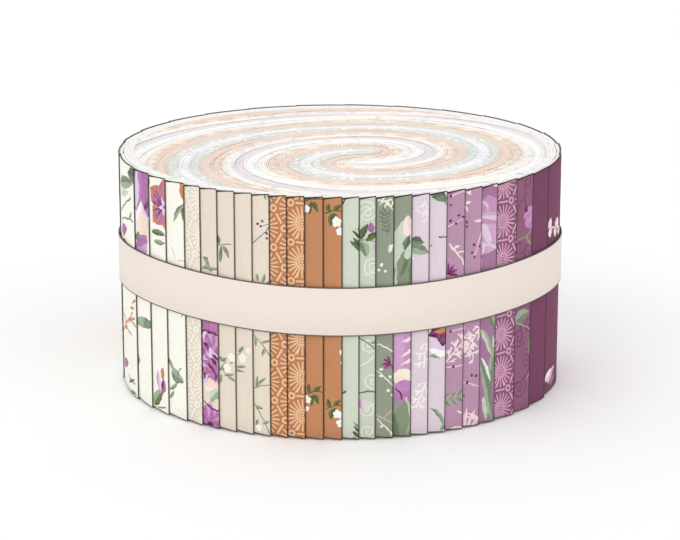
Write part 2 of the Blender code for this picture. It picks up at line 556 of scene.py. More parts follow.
def motif_group(name):
    """The node group that lays this motif over the colour below it, made when first asked for."""
    if name in bpy.data.node_groups:
        return bpy.data.node_groups[name]
    draw, numbers, colours = MOTIFS[name]
    inputs = [("Color", "Below"), ("Vector", "Point"), ("Vector", "Tile"), ("Vector", "Place")]
    inputs += [("Float", label) for label in ("Turn", *numbers)]
    inputs += [("Color", label) for label in colours]
    tree, given, result = start_group(name, inputs, ("Color", "Colour"))
    half = vector_math(tree, "MULTIPLY", given["Tile"], (0.5, 0.5, 0.5))
    other_half = vector_math(tree, "MULTIPLY", given["Tile"], (-0.5, -0.5, -0.5))
    away = vector_math(tree, "SUBTRACT", given["Point"], given["Place"])
    away = vector_math(tree, "WRAP", away, half, other_half)
    rotate = tree.nodes.new("ShaderNodeVectorRotate")
    rotate.rotation_type = "Z_AXIS"
    connect(tree, away, rotate.inputs["Vector"])
    connect(tree, -given["Turn"], rotate.inputs["Angle"])
    u, v, _ = split(tree, rotate.outputs[0])
    mask, colour = draw(u, v, **{label: given[label] for label in numbers + colours})
    connect(tree, mix_colour(tree, mask, given["Below"], colour), result)
    return tree


class Print:
    """Motifs laid one after another over a ground colour, in tiles that repeat.  Places and
    sizes are millimetres on the cloth."""

    def __init__(self, tree, ground, tile, wobble, place="print"):
        self.tree = tree
        self.colour = ground
        self.tile = (*tile, 1.0)
        point = vector_math(tree, "MULTIPLY", attribute(tree, place), (1.0, 1.0, 0.0))
        shift = vector_math(tree, "SUBTRACT", noise(tree, point, WOBBLE_SCALE, 2.0, "Color"), (0.5, 0.5, 0.5))
        shift = vector_math(tree, "MULTIPLY", shift, (wobble, wobble, 0.0))
        self.point = vector_math(tree, "ADD", point, shift)

    def lay(self, name, x, z, turn, *values):
        """Lays one motif with its origin at x along and z up, turned by this many degrees."""
        _, numbers, colours = MOTIFS[name]
        self.colour = use_group(
            self.tree, motif_group(name), Below=self.colour, Point=self.point, Tile=self.tile,
            Place=(x, z, 0.0), Turn=math.radians(turn), **dict(zip(numbers + colours, values)),
        )

    def leaf(self, x, z, turn, length, width, bend=0.0, dark=LEAF, light=LEAF_PALE):
        self.lay("leaf", x, z, turn, length, width, bend, dark, light)

    def leaves(self, *rows):
        """Leaves, each as x, z, turn, length, width and, where they differ, bend and two dyes."""
        for row in rows:
            self.leaf(*row)

    def line(self, x, z, turn, length, line, bend, colour):
        self.lay("line", x, z, turn, length, line, bend, colour)

    def lines(self, *rows):
        """Bowed lines, each as x, z, turn, length, half width, bend and dye."""
        for row in rows:
            self.line(*row)

    def sprig(self, x, z, turn, length, pitch, leaf, width, dark=LEAF, light=LEAF_PALE):
        self.lay("sprig", x, z, turn, length, pitch, leaf, width, dark, light)

    def dots(self, radius, colour, *places):
        for x, z in places:
            self.lay("dot", x, z, 0.0, radius, colour)

    def blossom(self, x, z, size=1.0, colour=WHITE):
        self.lay("blossom", x, z, 20.0, 5, 0.62 * size, 0.46 * size, colour, CREAM)

    def blossoms(self, *rows):
        """Small flowers, each as x, z and, where they differ, size and dye."""
        for row in rows:
            self.blossom(*row)


# ---- The prints, each with its motifs from the strip's top edge down

def paint_ivory_floral(cloth):
    """Leaves, stems, buds and coral twigs for the first strip, a striped flower for the third."""
    cloth.leaves(
        (21.8, 61.4, 184, 7.0, 4.2, 0.2, LEAF_DARK, LEAF), (3.0, 55.8, 11, 17.6, 3.6, 0.3, LEAF_PALE, LEAF),
        (5.0, 53.8, 12, 11.0, 2.0, -0.4, LEAF_MIST, LEAF_MIST),
    )
    cloth.lines((3.6, 48.2, 25, 15.0, 0.24, 0.0, STEM), (5.4, 46.4, 9, 13.6, 0.22, 0.7, LEAF))
    cloth.leaves(
        (15.2, 48.6, 35, 3.8, 1.2), (4.6, 43.4, 12, 8.8, 3.4, 0.0, MAUVE, MAUVE),
        (6.0, 40.2, 10, 6.4, 2.2, 0.0, BERRY, MAUVE), (3.0, 5.4, 16, 8.4, 3.0, 0.0, MAUVE, MAUVE),
    )
    for x, z, turn, length in (
        (3.0, 14.8, 14, 8.0), (8.6, 16.8, -10, 6.6), (4.0, 19.8, -16, 6.4), (8.6, 18.2, 14, 10.4),
        (13.0, 19.4, 38, 5.0), (6.4, 16.2, 40, 4.2), (14.8, 20.6, -16, 4.6), (16.6, 25.6, 24, 3.0),
        (15.0, 24.2, -6, 2.8),
    ):
        cloth.line(x, z, turn + 8, length, 0.34, 0.2, CORAL)
    cloth.line(10.8, 4.6, -8, 6.6, 0.26, -0.5, LEAF)
    cloth.leaves(
        (11.2, 2.2, 22, 6.8, 1.0, 0.2, LEAF_DARK, LEAF), (13.4, 0.6, 4, 5.6, 1.0),
        (22.2, 48.2, 1, 7.0, 1.5, 0.4, LEAF_DARK, LEAF), (23.5, 46.0, 3, 5.6, 1.5, -0.2),
    )
    cloth.lay("flower", 28.6, 56.2, 8, 5, 7.8, 6.8, 0.55, 0.70, ORANGE, MAUVE, PLUM)
    for turn in (128, 152, 176, 202, 226):
        cloth.leaf(28.4, 56.0, turn, 6.2, 0.9, 0.2, PLUM, BERRY)
    cloth.lay("flower", 28.8, 56.0, 44, 5, 2.6, 1.1, 0.40, 0.0, LILAC, LILAC, PLUM)
    cloth.leaf(21.6, 1.2, 46, 7.4, 3.4, 0.0, OLIVE, LEAF_PALE)
    cloth.line(24.0, 0.9, 10, 3.8, 0.2, 0.0, LEAF)
    cloth.leaves(
        (25.4, 5.6, 104, 6.0, 2.2, 0.2, LILAC, ORCHID), (27.0, 9.0, 98, 3.4, 2.0, 0.2, ORANGE, CORAL),
        (27.2, 9.3, -104, 4.2, 2.2, 0.2, PLUM, MAUVE),
    )


def paint_petal_floral(cloth):
    """Large mauve petals and a pale bud above, one leaf blade below."""
    cloth.leaves(
        (4.4, 50.6, 90, 16.4, 16.6, 0.0, MAUVE, srgb(190, 128, 182)),
        (0.6, 52.6, 84, 10.8, 4.4, 0.4, LILAC, LILAC), (4.6, 53.0, 36, 7.0, 2.8, 0.4, PLUM, BERRY),
        (4.5, 43.4, 90, 11.8, 9.6, 0.0, LILAC, WHITE),
        (4.6, 42.4, 90, 10.8, 8.2, 0.0, PEACH, srgb(250, 230, 216)),
        (-0.2, 44.6, 8, 4.2, 2.8, 0.2, LEAF_DARK, LEAF), (-0.4, 41.2, 23, 12.6, 5.2, 0.3, ORCHID, MAUVE),
        (4.4, 20.9, 98, 3.0, 22.0),
    )
    cloth.lay("flower", 13.0, 10.5, 15, 5, 4.6, 3.8, 0.5, 0.3, ORCHID, PLUM, PLUM)
    cloth.leaf(14.6, 30.5, 80, 6.0, 2.2, 0.4)


def paint_ivory_sprig(cloth):
    """A bud and blades at the top, a thistle head low down."""
    cloth.leaf(6.8, 59.2, 94, 5.0, 1.8, 0.2, CORAL, ORANGE)
    cloth.dots(0.3, CORAL, (6.0, 63.0), (5.8, 61.8), (5.9, 60.6))
    cloth.leaves((7.4, 58.0, 230, 7.0, 1.5, -0.5), (7.0, 57.2, 268, 3.6, 1.1, -0.2, LEAF_DARK, LEAF))
    cloth.lines((1.8, 45.6, -64, 3.2, 0.15, 0.5, LEAF_MIST), (4.6, 42.6, 10, 2.2, 0.12, 0.2, LEAF_PALE))
    cloth.leaves((-0.3, 16.0, -50, 5.6, 1.3, -0.4), (0.9, 12.4, -18, 5.6, 3.4, -0.4))
    cloth.line(3.4, 11.4, 56, 3.2, 0.17, 0.3, LEAF)
    cloth.leaves((3.4, 9.8, 216, 4.6, 1.1, 0.4, LEAF_PALE, LEAF), (1.9, 7.4, 232, 4.0, 0.9, 0.3))
    cloth.line(5.6, 27.4, 60, 1.6, 0.12, 0.0, STEM)
    cloth.lay("flower", 11.8, 50.0, 10, 5, 3.6, 2.6, 0.4, 0.2, ORCHID, MAUVE, PLUM)
    cloth.sprig(11.6, 14.0, 95, 7.0, 1.9, 2.2, 0.9)


def paint_wheels(line):
    """Spoked wheels in rows that are staggered by half, with rings and bars between them."""
    across, down = WHEEL_TILE

    def paint(cloth):
        for x, z in ((0.0, 0.0), (across / 2, down / 2)):
            cloth.lay("wheel", x, z, 0.0, 20, 1.35, 4.10, 0.20, 0.80, line)
            cloth.lay("dot", x, z, 0.0, 0.34, line)
            cloth.line(x - 1.40, z + down / 2, 0.0, 2.8, 0.24, 0.0, line)
            for side in (-1, 1):
                cloth.lay("ring", x + side * across / 3, z, 0.0, 0.72, 0.26, line)
                cloth.lines(
                    (x + side * 4.95, z + 1.4, 90 + side * 30, 2.5, 0.24, 0.0, line),
                    (x + side * 4.95, z - 1.4, -90 - side * 30, 2.5, 0.24, 0.0, line),
                    (x + side * 6.9, z + 1.0, 90 - side * 30, 1.5, 0.20, 0.0, line),
                )
    return paint


def paint_beige_floral(cloth):
    """A curled leaf above, a dense mauve flower head below."""
    cloth.leaves(
        (0.4, 45.6, -58, 4.6, 1.4, 0.5, LEAF_PALE, LEAF), (0.0, 41.9, 8, 5.6, 1.4, 0.4),
        (2.8, 11.4, 90, 28.0, 14.0, 0.0, srgb(190, 126, 178), MAUVE),
    )
    cloth.lay("flower", 3.2, 18.4, 12, 7, 8.6, 8.0, 0.2, 0.55, ORCHID, MAUVE, DEEP_PLUM)
    cloth.lay("flower", 3.6, 15.6, 40, 6, 5.8, 5.4, 0.2, 0.4, LILAC, MAUVE, DEEP_PLUM)
    cloth.leaf(0.2, 23.4, 60, 3.0, 1.0, 0.2, LILAC, WHITE)
    for x, z, turn, length in (
        (-0.4, 25.4, -6, 6.6), (0.4, 22.6, -60, 3.4), (3.0, 19.8, -35, 3.4), (2.2, 18.6, -38, 3.0),
        (1.6, 17.0, -48, 3.6), (3.2, 15.8, -66, 3.4), (-0.4, 15.4, -75, 3.0),
    ):
        cloth.leaf(x, z, turn, length, 1.0, 0.3, DEEP_PLUM, PLUM)
    cloth.leaves(
        (0.2, 10.8, 2, 6.2, 3.6, 0.0, CREAM, PEACH), (2.2, 7.2, 46, 5.4, 2.8, 0.2, LEAF_PALE, LEAF_MIST),
    )
    cloth.lay("flower", 2.2, 0.6, 30, 6, 6.4, 6.0, 1.1, 0.5, ORCHID, MAUVE, DEEP_PLUM)
    cloth.line(0.2, 6.8, -16, 5.8, 0.24, -0.7, DEEP_PLUM)
    cloth.leaf(11.0, 52.0, 60, 6.4, 2.2, 0.4)
    cloth.lay("flower", 11.6, 38.0, 20, 6, 5.6, 4.6, 0.5, 0.4, ORCHID, MAUVE, PLUM)
    cloth.sprig(13.0, 9.0, 70, 5.5, 1.7, 2.0, 0.8)


def paint_beige_sprig(cloth):
    """A small leaf fan above, white blossom with leaves below."""
    cloth.line(-0.4, 48.6, 12, 4.6, 0.13, 0.3, LEAF)
    cloth.leaves(
        (1.4, 49.0, -98, 4.8, 1.2, -0.3, DULL_LEAF, LEAF), (1.6, 49.0, -60, 3.8, 1.1, 0.2, LEAF, DULL_STEM),
        (0.0, 51.6, -80, 2.6, 1.2, 0.0, STEM, LEAF),
    )
    for x, z, turn, length in (
        (-0.3, 19.4, -24, 2.8), (0.4, 18.4, 28, 2.4), (1.0, 17.6, -78, 2.6), (-0.2, 15.6, 40, 2.2),
        (0.6, 14.8, -104, 2.8), (1.4, 14.6, 14, 3.4), (2.6, 14.4, -20, 2.6), (3.2, 18.2, 50, 2.0),
    ):
        cloth.leaf(x, z, turn, length, 0.9, 0.1)
    cloth.line(0.4, 18.8, -42, 3.6, 0.12, 0.2, LEAF)
    cloth.blossoms((3.9, 19.8, 1.15, OFF_WHITE), (2.4, 16.6, 1.15, OFF_WHITE))
    cloth.sprig(10.0, 54.0, -75, 7.0, 1.8, 2.2, 0.9)
    cloth.blossom(11.8, 50.0)
    cloth.sprig(10.8, 8.0, 80, 6.5, 1.8, 2.2, 0.9)


def paint_beige_plain(cloth):
    """A small white spray low down."""
    cloth.line(0.2, 20.4, 48, 2.8, 0.12, 0.0, LEAF)
    cloth.leaves((0.6, 21.4, 52, 2.4, 0.8), (-0.2, 17.4, 8, 3.2, 0.9), (-0.2, 16.6, -8, 2.6, 0.7))
    cloth.blossoms((1.8, 20.0, 1.1, OFF_WHITE), (3.5, 22.2, 0.8, CREAM))
    cloth.sprig(9.6, 44.0, 85, 7.0, 1.9, 2.2, 0.9)
    cloth.blossom(8.4, 48.6)


def paint_beige_berry(cloth):
    """Berries on thin stems above, leafy stems below."""
    cloth.leaves((3.4, 63.6, -82, 1.9, 0.8), (4.3, 63.2, -60, 1.9, 0.9))
    cloth.lines((0.0, 50.7, 44, 6.6, 0.11, -0.3, STEM), (2.4, 55.0, 18, 2.6, 0.11, 0.1, STEM))
    cloth.dots(0.36, PLUM, (1.35, 55.6), (2.75, 56.4), (2.25, 55.0), (3.8, 53.5), (3.9, 52.2))
    cloth.leaves((1.4, 40.8, 105, 2.0, 0.8), (2.6, 40.6, 75, 2.6, 1.0), (3.4, 40.4, 30, 2.0, 0.8))
    cloth.line(-0.2, 26.6, -48, 7.4, 0.13, 0.3, LEAF)
    cloth.leaves((0.6, 26.0, -88, 2.6, 0.9), (2.2, 24.6, 20, 2.6, 0.9), (3.2, 23.4, -110, 2.6, 1.0))
    cloth.line(-0.2, 12.4, 16, 5.4, 0.12, 0.0, LEAF)
    cloth.leaves((0.4, 12.6, 78, 3.4, 0.8), (0.8, 12.8, 50, 3.8, 0.9, 0.0, LEAF_PALE, LEAF))
    cloth.line(0.2, 8.2, -62, 8.6, 0.14, 0.2, LEAF)
    cloth.leaves((0.4, 7.6, -8, 2.2, 0.8), (1.0, 4.2, -100, 2.8, 0.9), (2.2, 3.0, 30, 2.6, 0.9))
    cloth.blossom(1.2, 2.0, 0.8)
    cloth.sprig(9.0, 28.0, 70, 8.0, 2.0, 2.4, 0.9)


def leafy_spray(cloth, x, z):
    """A short stem with blunt leaves."""
    cloth.line(x - 1.6, z + 0.2, 8, 4.8, 0.15, 0.3, OLIVE_DARK)
    cloth.leaves(
        (x - 0.6, z + 0.5, 96, 2.4, 1.3, 0.2, OLIVE_DARK, OLIVE),
        (x + 0.8, z + 0.6, 52, 2.4, 1.2, 0.2, OLIVE_DARK, OLIVE),
        (x + 0.2, z + 0.2, -98, 3.4, 1.4, -0.2, OLIVE, OLIVE_DARK),
        (x + 0.6, z + 0.2, -66, 2.8, 1.2, 0.1, OLIVE_DARK, OLIVE),
    )


def paint_terracotta_sprig(cloth):
    """Olive sprays with white blossom between them."""
    for x, z in ((1.4, 61.8), (7.1, 59.0), (1.6, 11.8), (7.1, 8.2), (13.4, 50.0), (12.0, 25.0)):
        leafy_spray(cloth, x, z)
    for x, z, size in (
        (0.2, 60.2, 1.0), (0.2, 10.4, 1.1), (0.2, 8.0, 0.6), (9.8, 23.2, 0.8), (9.9, 20.6, 0.6),
        (8.4, 57.0, 1.15), (9.2, 54.6, 1.0), (8.6, 6.8, 1.15), (9.4, 4.4, 1.1), (12.0, 48.6, 1.0),
    ):
        cloth.blossom(x, z, size)


def paint_pale_green(cloth):
    """Dark green sprigs above and at the foot."""
    cloth.sprig(4.5, 49.6, 92, 4.6, 1.7, 2.6, 1.0, OLIVE_DARK, STEM)
    cloth.leaf(4.4, 51.0, 158, 2.8, 1.0, 0.3, OLIVE_DARK, LEAF_DARK)
    cloth.sprig(4.2, -0.8, 88, 4.2, 1.4, 2.4, 0.9, OLIVE_DARK, STEM)
    cloth.leaf(-0.2, 12.2, 40, 1.4, 0.6, 0.0, OLIVE_DARK, LEAF_DARK)
    cloth.line(-0.1, 61.6, 60, 1.4, 0.2, 0.0, OLIVE_DARK)
    cloth.sprig(10.6, 22.0, 80, 9.0, 2.1, 2.6, 1.1, LEAF_DARK, LEAF)
    cloth.leaf(12.2, 46.0, 120, 5.0, 1.8, 0.3)
    cloth.blossom(9.0, 40.0, 1.1)


def paint_pale_scroll(cloth):
    """Scrolls in a paler tone, a leafy stem with a bud over them."""
    tone = srgb(226, 233, 217)
    for x, z, radius, turn in (
        (1.6, 59.4, 2.9, 60), (3.6, 45.4, 2.7, 200), (2.2, 25.0, 2.4, 100), (3.2, 15.6, 2.6, 10),
        (1.6, 8.0, 2.4, 150), (2.2, 2.0, 2.4, 60), (9.4, 52.0, 3.2, 0), (10.4, 34.0, 3.2, 90),
        (8.6, 18.0, 3.2, 180), (11.4, 6.0, 2.8, 40),
    ):
        cloth.lay("scroll", x, z, turn, radius, 1.25, 0.20, tone)
    for x, z, turn, bend in (
        (0.0, 55.0, 60, 1.2), (4.2, 48.6, -120, 1.4), (0.2, 19.6, 52, -1.2), (4.4, 10.6, 200, 1.2),
    ):
        cloth.line(x, z, turn, 6.4, 0.20, bend, tone)
    cloth.line(0.0, 52.2, -12, 5.4, 0.14, 0.5, LEAF)
    cloth.leaves(
        (0.2, 52.4, 66, 4.4, 1.8, 0.2, OLIVE_DARK, LEAF_DARK),
        (1.8, 51.8, 44, 3.8, 1.5, 0.2, OLIVE, OLIVE_DARK), (0.4, 52.0, -70, 4.2, 2.3, 0.2),
        (3.0, 54.0, 96, 2.9, 1.8, 0.0, MAUVE, BERRY), (3.7, 51.4, -84, 2.4, 1.0, 0.0, ORCHID, LILAC),
    )
    cloth.line(-0.2, 26.8, -38, 5.6, 0.16, 0.3, LEAF)
    cloth.leaf(2.6, 25.4, 14, 2.2, 0.9)
    cloth.line(-0.1, 12.4, 0, 4.8, 0.17, 0.2, STEM)
    cloth.leaves(
        (0.3, 10.6, -80, 3.0, 1.4, 0.0, ORCHID, LILAC), (1.2, 9.4, -20, 1.6, 0.8, 0.0, PINK, LILAC),
    )


def sage_stems(cloth):
    """Cream stems, buds and dots."""
    for x, z, turn, length in ((0.4, 63.2, -42, 5.6), (0.6, 61.2, 20, 2.4), (2.2, 60.0, 68, 2.8)):
        cloth.line(x, z, turn, length, 0.13, 0.2, CREAM)
    cloth.lay("blossom", 1.1, 62.6, 0, 5, 0.7, 0.34, CREAM, LEAF)
    cloth.lay("blossom", 3.4, 61.6, 0, 5, 0.6, 0.30, CREAM, LEAF)
    cloth.sprig(2.6, 54.0, 96, 5.0, 1.1, 1.9, 0.6, DULL_LEAF, DULL_LEAF)
    cloth.leaves(
        (2.8, 49.0, 52, 2.6, 1.1, 0.0, LEAF_MIST, WHITE), (3.2, 48.8, 85, 2.4, 1.0, 0.0, WHITE, LEAF_MIST),
    )
    cloth.dots(0.38, OFF_WHITE, (1.2, 45.8), (0.7, 44.5), (2.3, 44.3), (1.4, 18.4), (1.3, 16.5), (3.5, 16.4))
    cloth.line(0.3, 25.0, -27, 4.6, 0.14, 0.1, OFF_WHITE)
    for turn in (110, 148, 190, 222):
        cloth.leaf(3.6, 19.9, turn, 2.2, 1.0, 0.1, PLUM, MAUVE)
    cloth.lines((3.6, 19.8, -76, 3.0, 0.14, 0.1, PLUM), (0.4, 18.0, -48, 6.2, 0.13, 0.1, OFF_WHITE))
    cloth.dots(0.34, OFF_WHITE, (3.2, 12.6), (4.0, 11.6), (1.4, 3.2), (3.9, 1.4))
    cloth.lines(
        (0.4, 6.2, -28, 5.0, 0.15, 0.1, srgb(214, 190, 160)),
        (2.3, 5.8, 42, 2.4, 0.14, 0.1, srgb(214, 190, 160)), (0.4, 5.2, -50, 6.6, 0.14, 0.1, CREAM),
    )


def sage_bud(cloth, left):
    """A large bud with leaves, on the strip that begins at left."""
    dull, deep = srgb(136, 149, 124), srgb(108, 126, 96)
    cloth.leaves(
        (left - 0.6, 36.0, 70, 15.0, 6.6, 0.4, dull, dull),
        (left + 3.4, 36.0, 84, 12.6, 3.6, 0.4, deep, dull),
        (left + 0.6, 44.2, 79, 14.4, 5.8, 0.0, LEAF_MIST, LEAF_MIST),
        (left + 3.6, 52.4, 92, 6.0, 2.6, 0.0, PINK, srgb(250, 228, 220)),
        (left + 2.6, 49.4, 70, 3.8, 1.8, 0.2, LEAF_DARK, LEAF),
        (left + 1.6, 42.4, 78, 7.4, 2.8, 0.2, deep, dull),
        (left + 3.2, 46.6, 78, 3.8, 1.4, 0.2, LEAF_MIST, LEAF_MIST),
        (left + 0.2, 38.0, 88, 7.4, 0.9, 0.0, LEAF_MIST, LEAF_PALE),
        (left + 2.6, 9.0, 90, 25.0, 10.6, 0.0, srgb(204, 148, 198), srgb(214, 166, 208)),
        (left + 5.0, 26.6, 205, 3.4, 1.2, 0.2, CREAM, PINK),
        (left + 5.0, 23.6, 215, 4.2, 0.9, 0.3, CREAM, PINK),
        (left + 5.0, 20.6, 200, 3.6, 0.9, 0.2, CREAM, PINK),
        (left + 5.6, 15.8, 176, 6.6, 4.8, 0.2, CREAM, srgb(250, 232, 214)),
        (left - 0.8, 11.8, -2, 8.4, 6.2, 0.4, srgb(186, 126, 178), srgb(196, 138, 190)),
    )
    cloth.line(left + 0.6, 13.0, -62, 3.2, 0.22, 0.4, PLUM)
    cloth.leaves(
        (left + 2.6, -5.0, 88, 15.0, 8.6, 0.0, dull, dull),
        (left + 1.0, -1.4, 100, 9.0, 2.4, 0.2, deep, OLIVE),
        (left + 3.2, 0.6, 74, 5.4, 2.0, 0.0, LEAF_PALE, dull),
    )
    cloth.line(left + 3.2, 10.4, -78, 7.2, 0.26, 0.2, srgb(196, 208, 186))


def paint_sage_floral(cloth):
    """Cream stems for one strip, a large bud for the next."""
    sage_stems(cloth)
    sage_bud(cloth, 8.4)
    cloth.lay("flower", 18.6, 44.0, 10, 5, 5.0, 4.0, 0.5, 0.3, ORCHID, MAUVE, PLUM)
    cloth.leaf(19.0, 30.0, 74, 8.0, 3.0, 0.5)
    cloth.sprig(17.0, 8.0, 80, 8.0, 2.0, 2.4, 1.0, LEAF_MIST, CREAM)


def paint_lilac_twig(cloth):
    """Pale branching twigs and small green leaves."""
    cloth.lay("twig", 0.8, 60.4, -24, 3.6, 2.4, 1.8, 0.12, MIST)
    cloth.lay("twig", 3.4, 61.4, -84, 5.4, 2.2, 1.5, 0.12, MIST)
    cloth.leaves(
        (-0.6, 51.4, -10, 3.8, 2.4, 0.2, LEAF, LEAF_DARK),
        (-0.8, 50.0, -22, 5.6, 2.6, 0.2, LEAF_PALE, LEAF),
    )
    cloth.lay("twig", 4.0, 24.4, -98, 6.4, 2.4, 2.2, 0.16, OFF_WHITE)
    cloth.lay("twig", 3.9, 14.0, -112, 7.0, 2.2, 2.1, 0.16, OFF_WHITE)
    cloth.lay("twig", 11.0, 40.0, 70, 9.0, 2.6, 2.4, 0.18, WHITE)
    cloth.lay("twig", 10.0, 10.0, 100, 9.0, 2.6, 2.4, 0.18, WHITE)
    cloth.leaf(9.0, 30.0, 30, 5.0, 2.2, 0.3)


def paint_lilac_floral(cloth):
    """A leaf at the top, a ruffled flower below the band, a long leaf low down."""
    cloth.leaves(
        (4.8, 61.6, 62, 3.4, 2.6, 0.0, WHITE, MIST), (0.6, 63.6, -34, 4.6, 3.0, 0.2, LEAF, LEAF_DARK),
        (0.4, 62.0, 18, 3.6, 1.6, 0.2, LEAF_DARK, LEAF),
    )
    cloth.lines((3.2, 62.0, -60, 4.6, 0.18, 0.3, LEAF), (2.8, 51.7, 3, 2.4, 0.22, 0.0, STEM))
    cloth.dots(0.3, LEAF, (0.4, 49.9))
    cloth.leaves(
        (-1.0, 24.4, 42, 8.4, 4.6, 0.8, LILAC, WHITE), (0.4, 23.0, -10, 6.4, 3.4, -0.4, WHITE, LILAC),
    )
    cloth.lay("flower", 4.4, 27.8, 20, 6, 4.8, 3.8, 0.8, 0.5, DEEP_PLUM, PLUM, PLUM)
    cloth.leaves(
        (3.2, 26.4, -58, 4.0, 1.2, 0.3, PLUM, PLUM), (1.0, 26.8, -18, 3.4, 1.0, 0.2, PLUM, BERRY),
        (0.0, 20.6, -12, 3.2, 0.9, 0.3), (0.6, 7.0, -58, 8.6, 1.4, 1.0), (3.6, 0.2, 60, 4.0, 1.4, 0.2),
    )
    cloth.lay("flower", 10.6, 47.0, 12, 5, 4.6, 4.2, 0.5, 0.3, ORCHID, MAUVE, PLUM)
    cloth.leaf(10.6, 40.0, -78, 7.0, 2.4, 0.5)
    cloth.sprig(11.0, 8.0, 85, 7.0, 2.0, 2.4, 1.0)
    cloth.leaf(1.6, 27.0, 2, 7.4, 1.5, 0.2, ORANGE, CORAL)


def paint_mauve_twig(cloth):
    """Branching twigs, bars and berries that run on from one strip to the next."""
    pink = srgb(238, 206, 216)
    rose = srgb(252, 232, 230)
    for x, z, turn, length in (
        (1.2, 61.9, 15, 4.0), (0.4, 54.0, 23, 4.0), (10.3, 51.6, 252, 6.0), (0.2, 17.0, 2, 5.0),
        (5.6, 12.4, -20, 5.4), (1.6, 26.6, 6, 3.6),
    ):
        cloth.line(x, z, turn, length, 0.17, 0.0, pink)
    cloth.dots(0.38, PLUM, (0.9, 61.9), (0.9, 59.7), (0.9, 55.6), (3.3, 56.8), (4.6, 56.3), (2.5, 54.6))
    cloth.dots(0.36, PLUM, (5.8, 54.7), (5.9, 53.5), (8.1, 48.6), (9.8, 48.0), (7.6, 46.6), (8.3, 45.4))
    cloth.dots(0.40, PLUM, (2.2, 17.0), (7.9, 13.9), (9.4, 13.6), (6.6, 12.1), (1.2, 26.6))
    cloth.lines((0.7, 49.6, -54, 8.0, 0.2, 0.3, CREAM), (2.8, 46.9, 2, 2.5, 0.18, 0.4, CREAM))
    cloth.leaf(1.8, 48.4, 10, 2.0, 0.7, 0.2, CREAM, PINK)
    for turn in (-8, 22, 52, 84):
        cloth.leaf(0.2, 41.8, turn, 3.2, 1.1, 0.1, PLUM, BERRY)
    for x, z, turn, length in (
        (5.2, 63.0, -38, 2.2), (6.6, 61.8, 78, 1.8), (5.2, 59.4, 12, 1.9), (5.2, 59.0, -60, 1.8),
    ):
        cloth.leaf(x, z, turn, length, 0.6, 0.1, rose, CREAM)
    cloth.leaf(8.0, 54.6, 2, 2.6, 0.8, 0.0, rose, pink)
    cloth.lay("twig", 0.2, 18.6, 46, 9.8, 2.6, 2.4, 0.20, rose)
    cloth.lay("twig", 10.8, 26.6, 228, 8.4, 2.8, 2.3, 0.20, rose)
    cloth.lay("twig", 5.8, 22.4, -52, 4.6, 2.2, 1.8, 0.19, rose)
    cloth.sprig(0.0, 8.4, 6, 4.2, 1.9, 2.3, 1.1)
    cloth.leaves((3.4, 5.2, -24, 1.8, 0.6, 0.0, rose, pink), (1.0, 0.4, -2, 4.4, 1.1, 0.2, rose, PINK))
    for turn in (20, 40, 62, 84):
        cloth.leaf(5.8, -2.0, turn, 7.6, 1.0, 0.2, rose, PINK)
    for turn in (150, 165):
        cloth.leaf(10.6, 1.8, turn, 4.6, 0.8, 0.2, rose, PINK)
    cloth.lay("twig", 14.0, 30.0, 95, 9.0, 2.8, 2.4, 0.2, CREAM)
    cloth.sprig(15.0, 8.0, 70, 7.0, 2.0, 2.4, 1.0)


def paint_mauve_petal(cloth):
    """Broad pale petals above, long leaf blades below."""
    deep, pale, paler = srgb(202, 152, 190), srgb(214, 172, 204), srgb(230, 206, 222)
    cloth.leaves(
        (2.6, 63.8, -18, 4.4, 2.0, 0.3, CREAM, WHITE), (-3.0, 53.0, 0, 12.6, 15.0, 0.0, pale, deep),
    )
    cloth.line(0.4, 59.2, -54, 2.6, 0.26, 0.4, paler)
    cloth.leaves(
        (-0.8, 55.6, -8, 8.0, 2.2, 0.2, paler, pale), (-0.2, 53.4, -62, 6.4, 2.4, 0.4, paler, LILAC),
    )
    cloth.line(0.2, 48.4, -20, 5.4, 0.30, 0.2, LILAC)
    cloth.leaves(
        (2.6, 29.4, -62, 8.0, 2.2, 0.4), (-0.2, 25.6, -64, 9.0, 1.7, 0.8, LEAF_MIST, LEAF_PALE),
        (4.0, 23.6, -84, 8.0, 1.3, 0.5, LEAF_MIST, LEAF),
        (5.2, 21.4, -98, 23.0, 2.6, -0.6, LEAF_PALE, LEAF),
        (0.2, 16.4, -76, 18.0, 2.5, 0.5, LEAF_PALE, LEAF),
        (0.4, 18.0, -66, 8.0, 0.9, 0.3, LEAF_MIST, WHITE),
        (1.4, 7.4, -80, 6.6, 2.6, 0.4, LEAF_MIST, LEAF_PALE),
    )
    cloth.lay("flower", 12.0, 46.0, 24, 5, 6.0, 5.2, 0.7, 0.25, LILAC, ORCHID, PLUM)
    cloth.leaves((11.0, 36.0, -80, 14.0, 3.4, 0.8), (13.6, 16.0, -100, 12.0, 2.6, -0.6, LEAF_PALE, LEAF))


